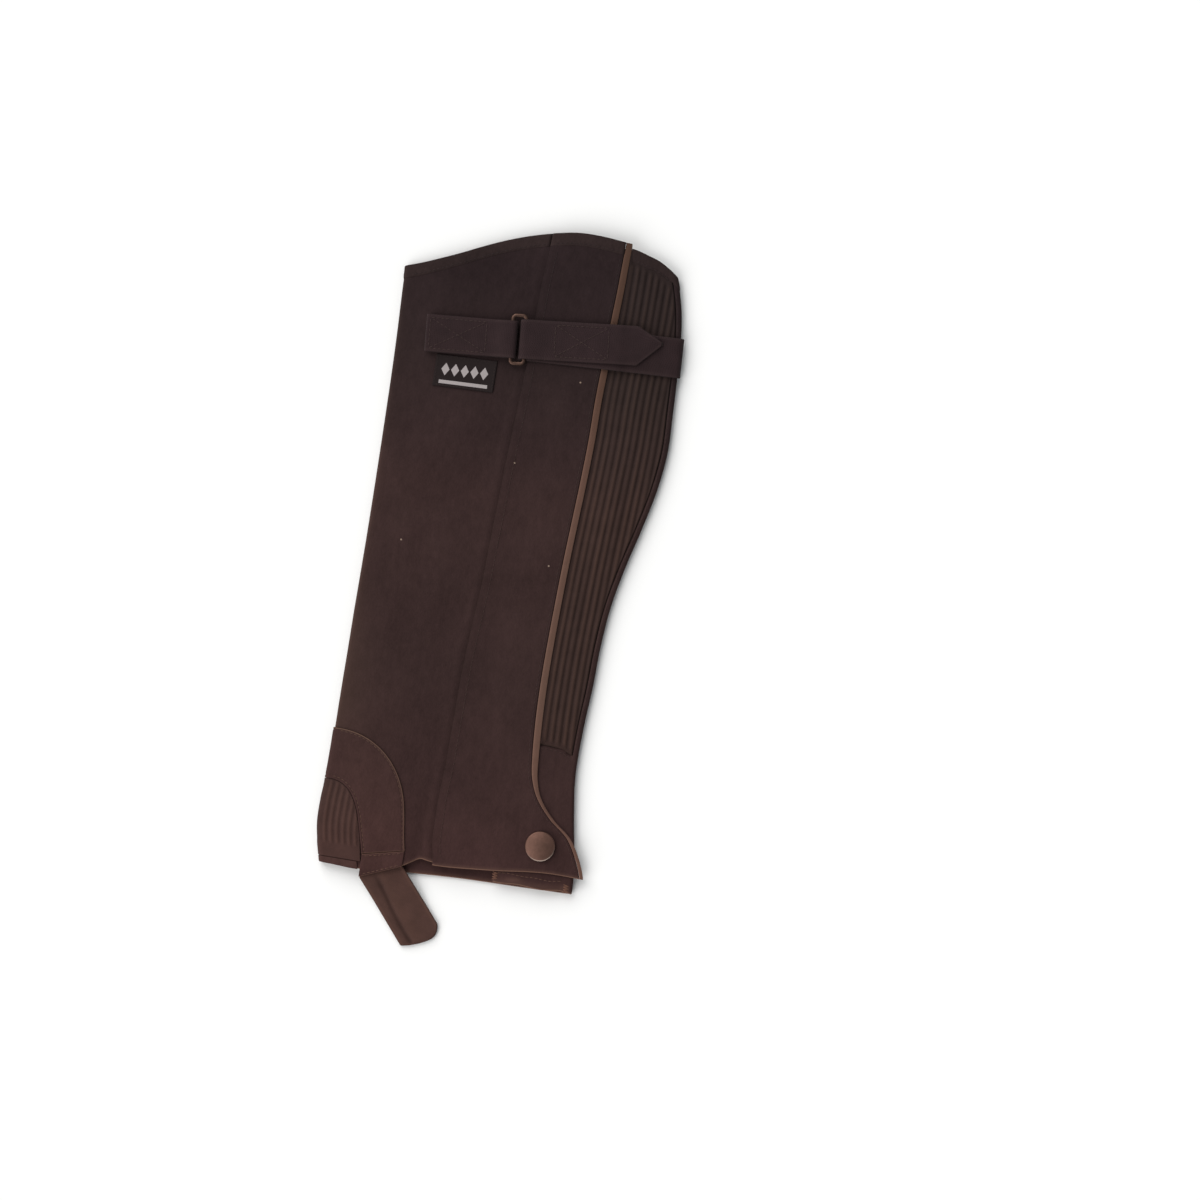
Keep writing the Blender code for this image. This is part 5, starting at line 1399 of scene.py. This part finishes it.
def sew(name, surface, paths, pitch=3.0, stitch=2.5, thread=0.24, slot=None):
    """Rows of stitches: each path is (points, up) with points close together."""
    turns = [2 * math.pi * k / STITCH_SIDES for k in range(STITCH_SIDES)]
    points, faces = [], []
    for path, up in paths:
        path, up = np.asarray(path, float), np.array(up)
        length = lengths(path)
        count = max(int(length[-1] / pitch), 1)
        starts = (length[-1] - count * pitch) / 2 + np.arange(count) * pitch
        firsts, lasts = (np.stack([np.interp(places, length, path[:, k]) for k in range(3)], -1)
                         for places in (starts, starts + stitch))
        for first, last in zip(firsts, lasts):
            side = np.cross(last - first, up)
            side /= np.linalg.norm(side)
            base = len(points)
            for form in STITCH_FORM:
                middle = first + (last - first) * form.along + up * form.rise
                points += [middle + (side * math.cos(turn) + up * math.sin(turn)) * thread * form.fat
                           for turn in turns]
            for start in range(base, len(points) - STITCH_SIDES, STITCH_SIDES):
                for k in range(STITCH_SIDES):
                    a, b = start + k, start + (k + 1) % STITCH_SIDES
                    faces.append((a, b, b + STITCH_SIDES, a + STITCH_SIDES))
            faces.append(tuple(range(base, base + STITCH_SIDES)))
            faces.append(tuple(reversed(range(len(points) - STITCH_SIDES, len(points)))))
    make_object(name, points, faces, surface, lay=np.array(points) * MM, slot=slot)


def spread(low, high):
    """Places 1 mm apart."""
    return np.linspace(low, high, max(int(abs(high - low)), 2))


def spots_path(spots, out):
    """Runs over the outer side, and over the inner side, from the spots of a curve."""
    return [([column.point(np.float64(v), out) for column, v, _ in spots if column.side == side], up)
            for side, up in (("top", UP), ("under", DOWN))]


def box_stitch(plan, low, high, half, height):
    """A box with a cross in it, on a strap: low and high are places across the leg."""
    corners = []
    for across, side in ((low, -1), (high, -1), (high, 1), (low, 1)):
        spot, ahead = plan(across)
        corners.append((spot[0] - ahead[1] * half * side, spot[1] + ahead[0] * half * side, 0.0))
    runs = []
    for a, b in ((0, 1), (1, 2), (2, 3), (3, 0), (0, 2), (1, 3)):
        run = np.linspace(corners[a], corners[b], 30)
        run[:, 2] = [height(u) for u in run[:, 0]]
        runs.append((run, UP))
    return runs


def bold_sewing():
    """Rows on the gusset, the grip patch, the foot tab and the calf panel's hem, and the bar tacks."""
    sunk = GAP + BINDING - STITCH_SINK
    rows = spots_path(gusset_spots(GUSSET_OUTER_ROW, 60), sunk)
    rows += spots_path(gusset_spots(GUSSET_INNER_ROW, 60), sunk)
    for places in ([(share, GRIP_RIGHT_ROW) for share in np.linspace(0, 0.99, 120)],
                   [(GRIP_FOOT_ROW, along) for along in np.linspace(0.02, GRIP_RIGHT_ROW, 90)],
                   [(share, GRIP_LEFT_ROW) for share in np.linspace(0.01, 0.99, 120)]):
        u, v = np.array([grip_spot(*place) for place in places]).T
        rows.append((on_under(u, v, sunk), DOWN))
    left, right = FOOT_TAB
    u = spread(left.across + 1.2, right.across - 1.2)
    share = (u - left.across) / (right.across - left.across)
    for first, last, inset in ((left.high, right.high, -TAB_ROW), (left.low, right.low, TAB_ROW)):
        v = first + (last - first) * share + inset
        above = np.maximum(v, hem_panel(u))
        sag = FOOT_TAB_DROP * ease((hem_panel(u) - v) / FOOT_TAB_DROP_RUN)
        rows.append((np.stack([u, v, outer_face(u, above) + GAP + BINDING - sag], -1), UP))
    u = spread(*HEM_SPAN)
    rows.append((on_top(u, hem_calf(u) + wavy(HEM_ROW, u), 0.0), UP))
    sew("stitches_bold", "thread", rows)

    tacks = []
    for tack in HEM_TACKS:
        for k in range(TACK_TURNS):
            u = np.linspace(tack.across - tack.width / 2, tack.across + tack.width / 2, 12)
            v = tack.height + TACK_STEP * k + TACK_SLANT * (u - tack.across) / tack.width * (-1) ** k
            tacks.append((on_top(u, v, TACK_LIFT), UP))
    sew("stitches_tack", "tack_thread", tacks, pitch=4.0, stitch=3.8, thread=0.34)


def fine_sewing():
    """Rows beside the flap's edges, on the bindings, round the elastic and beside the inner seam."""
    rows = []
    v = spread(float(hem_flap(0)) + 4, EDGE_SPAN[1])
    u = seam(v) + FLAP_ROW
    rows.append((on_top(u, v, FLAP_TOP + rolled(FLAP_ROLL, u, v)), UP))
    v = spread(*EDGE_SPAN)
    rows.append((on_top(flap_edge(v) + FREE_EDGE_ROW, v, FLAP_TOP), UP))
    flap_start, flap_end = float(seam(415.0)), float(flap_edge(415.0))
    sunk = GAP + BAND_THICK - BAND_SINK
    for edge, low, high, out, face, up in (
            (mouth_outer, 2.5, flap_start - 2, sunk, on_top, UP),
            (mouth_outer, flap_start + 2, flap_end - 2, FLAP_TOP + sunk, on_top, UP),
            (mouth_elastic, float(piping_end(410.0)) + 1.5, 166, sunk, on_top, UP),
            (mouth_under, 2.5, 166, sunk, on_under, DOWN)):
        u = spread(low, high)
        rows.append((face(u, edge(u) - BAND_WIDTH + BAND_ROW, out), up))
    u = spread(float(zip_line(96.0)) + 6, 152)
    rows.append((on_top(u, elastic_foot(u) + ELASTIC_ROW, 0.0), UP))
    v = spread(*CALF_SPAN)
    rows.append((on_top(calf(v) + CALF_ROW, v, 0.0), UP))
    v = spread(*INNER_SPAN)
    rows += [(on_under(inner_seam(v) + off, v, 0.0), DOWN) for off in (-INNER_ROW, INNER_ROW)]
    sew("stitches_fine", "dark_thread", rows, thread=0.2)


def strap_sewing():
    """A crossed box on the strap's tab and on the strap, and a row round the label."""
    heights = line("across height", *strap_over(STRAP_UPPER, 1))
    tab_top = PANEL_TOP + TAB_HIGH + WEBBING / 2 - 0.02
    rows = box_stitch(straight_plan(*TAB_LINE), *TAB_BOX, TAB_WIDTH / 2 - TAB_STRAP_ROW, lambda u: tab_top)
    rows += box_stitch(straight_plan(*STRAP_HIGH_LINE), *STRAP_BOX, STRAP_WIDTH / 2 - STRAP_ROW,
                       lambda u: float(heights(u)) + WEBBING / 2)
    sew("stitches_strap", "strap_thread", rows, thread=0.26)

    right, high = LABEL_WIDTH - LABEL_ROW, LABEL_HEIGHT - LABEL_ROW
    across, up = np.linspace(LABEL_ROW, right, 40), np.linspace(LABEL_ROW, high, 24)
    rows = []
    for off_u, off_v in ((across, LABEL_ROW + 0 * across), (across, high + 0 * across),
                         (LABEL_ROW + 0 * up, up), (right + 0 * up, up)):
        v = LABEL_CORNER.height + off_v + LABEL_RISE * off_u / LABEL_WIDTH
        rows.append((on_top(LABEL_CORNER.across + off_u, v, GAP + LABEL_THICK), UP))
    sew("stitches_label", "dark_thread", rows, pitch=2.2, stitch=1.7, thread=0.14, slot="label")


PHOTO_PIXELS, PHOTO_MM_PER_PIXEL = 1200, 0.64
LEAN = math.radians(9.0)
FRAME_MIDDLE, SUBJECT_LEVEL, LENS, SENSOR = (0.0645, 0.0045), 0.008, 100.0, 36.0
FLOOR_HALF, SUN_ANGLE, SUN_COLOR = 6.0, math.radians(55), (1.0, 0.985, 0.965)
SKY_COLOR, SKY_STRENGTH = (0.95, 0.985, 1.0, 1), 0.35
# Two soft lights on the left, one farther up and one farther down
LAMPS = table("name energy toward", ("key", 2.5, (-0.62, 0.81, 0.74)), ("fill", 2.0, (-0.74, -0.70, 0.74)))


def place_object(name, data):
    made = bpy.data.objects.new(name, data)
    bpy.context.scene.collection.objects.link(made)
    return made


def stage():
    """Pale floor, soft light from the left, and a camera that looks straight down."""
    scene = bpy.context.scene
    camera = place_object("camera", bpy.data.cameras.new("camera"))
    scene.camera = camera
    camera.data.lens, camera.data.sensor_width = LENS, SENSOR
    distance = PHOTO_PIXELS * PHOTO_MM_PER_PIXEL * MM * LENS / SENSOR
    camera.location = (*FRAME_MIDDLE, distance + SUBJECT_LEVEL)
    camera.rotation_euler = (0, 0, LEAN)

    mesh = bpy.data.meshes.new("floor")
    corners = [(x * FLOOR_HALF, y * FLOOR_HALF, 0) for x, y in ((-1, -1), (1, -1), (1, 1), (-1, 1))]
    mesh.from_pydata(corners, [], [(0, 1, 2, 3)])
    made = Surface("floor", Roughness=0.9)
    made.paint(made.ramp(made.noise(3.0), 0.3, 0.7, (0.865, 0.865, 0.865), (0.88, 0.88, 0.88)))
    mesh.materials.append(surfaces["floor"])
    place_object("floor", mesh)

    scene.world = bpy.data.worlds.new("world")
    scene.world.use_nodes = True
    sky = scene.world.node_tree.nodes["Background"].inputs
    sky["Color"].default_value, sky["Strength"].default_value = SKY_COLOR, SKY_STRENGTH
    for lamp in LAMPS:
        sun = bpy.data.lights.new(lamp.name, "SUN")
        sun.energy, sun.angle, sun.color = lamp.energy, SUN_ANGLE, SUN_COLOR
        place_object(lamp.name, sun).rotation_euler = Vector(lamp.toward).to_track_quat("Z", "Y").to_euler()
    scene.view_settings.view_transform = "Standard"
    scene.view_settings.look = "None"


make_materials()
main_panel()
calf_panel()
elastic_panel()
flap()
piping()
mouth_bindings()
gusset_patch()
gusset_elastic()
gusset_hem()
foot_tab("foot_tab_outer", top_column, FOOT_TAB_DROP)
foot_tab("foot_tab_inner", under_column, 0.0)
foot_strap()
strap_tab()
strap_ring()
calf_strap()
label()
snap_cap()
snap_back()
grip_patch()
zip_pieces()
bold_sewing()
fine_sewing()
strap_sewing()
stage()
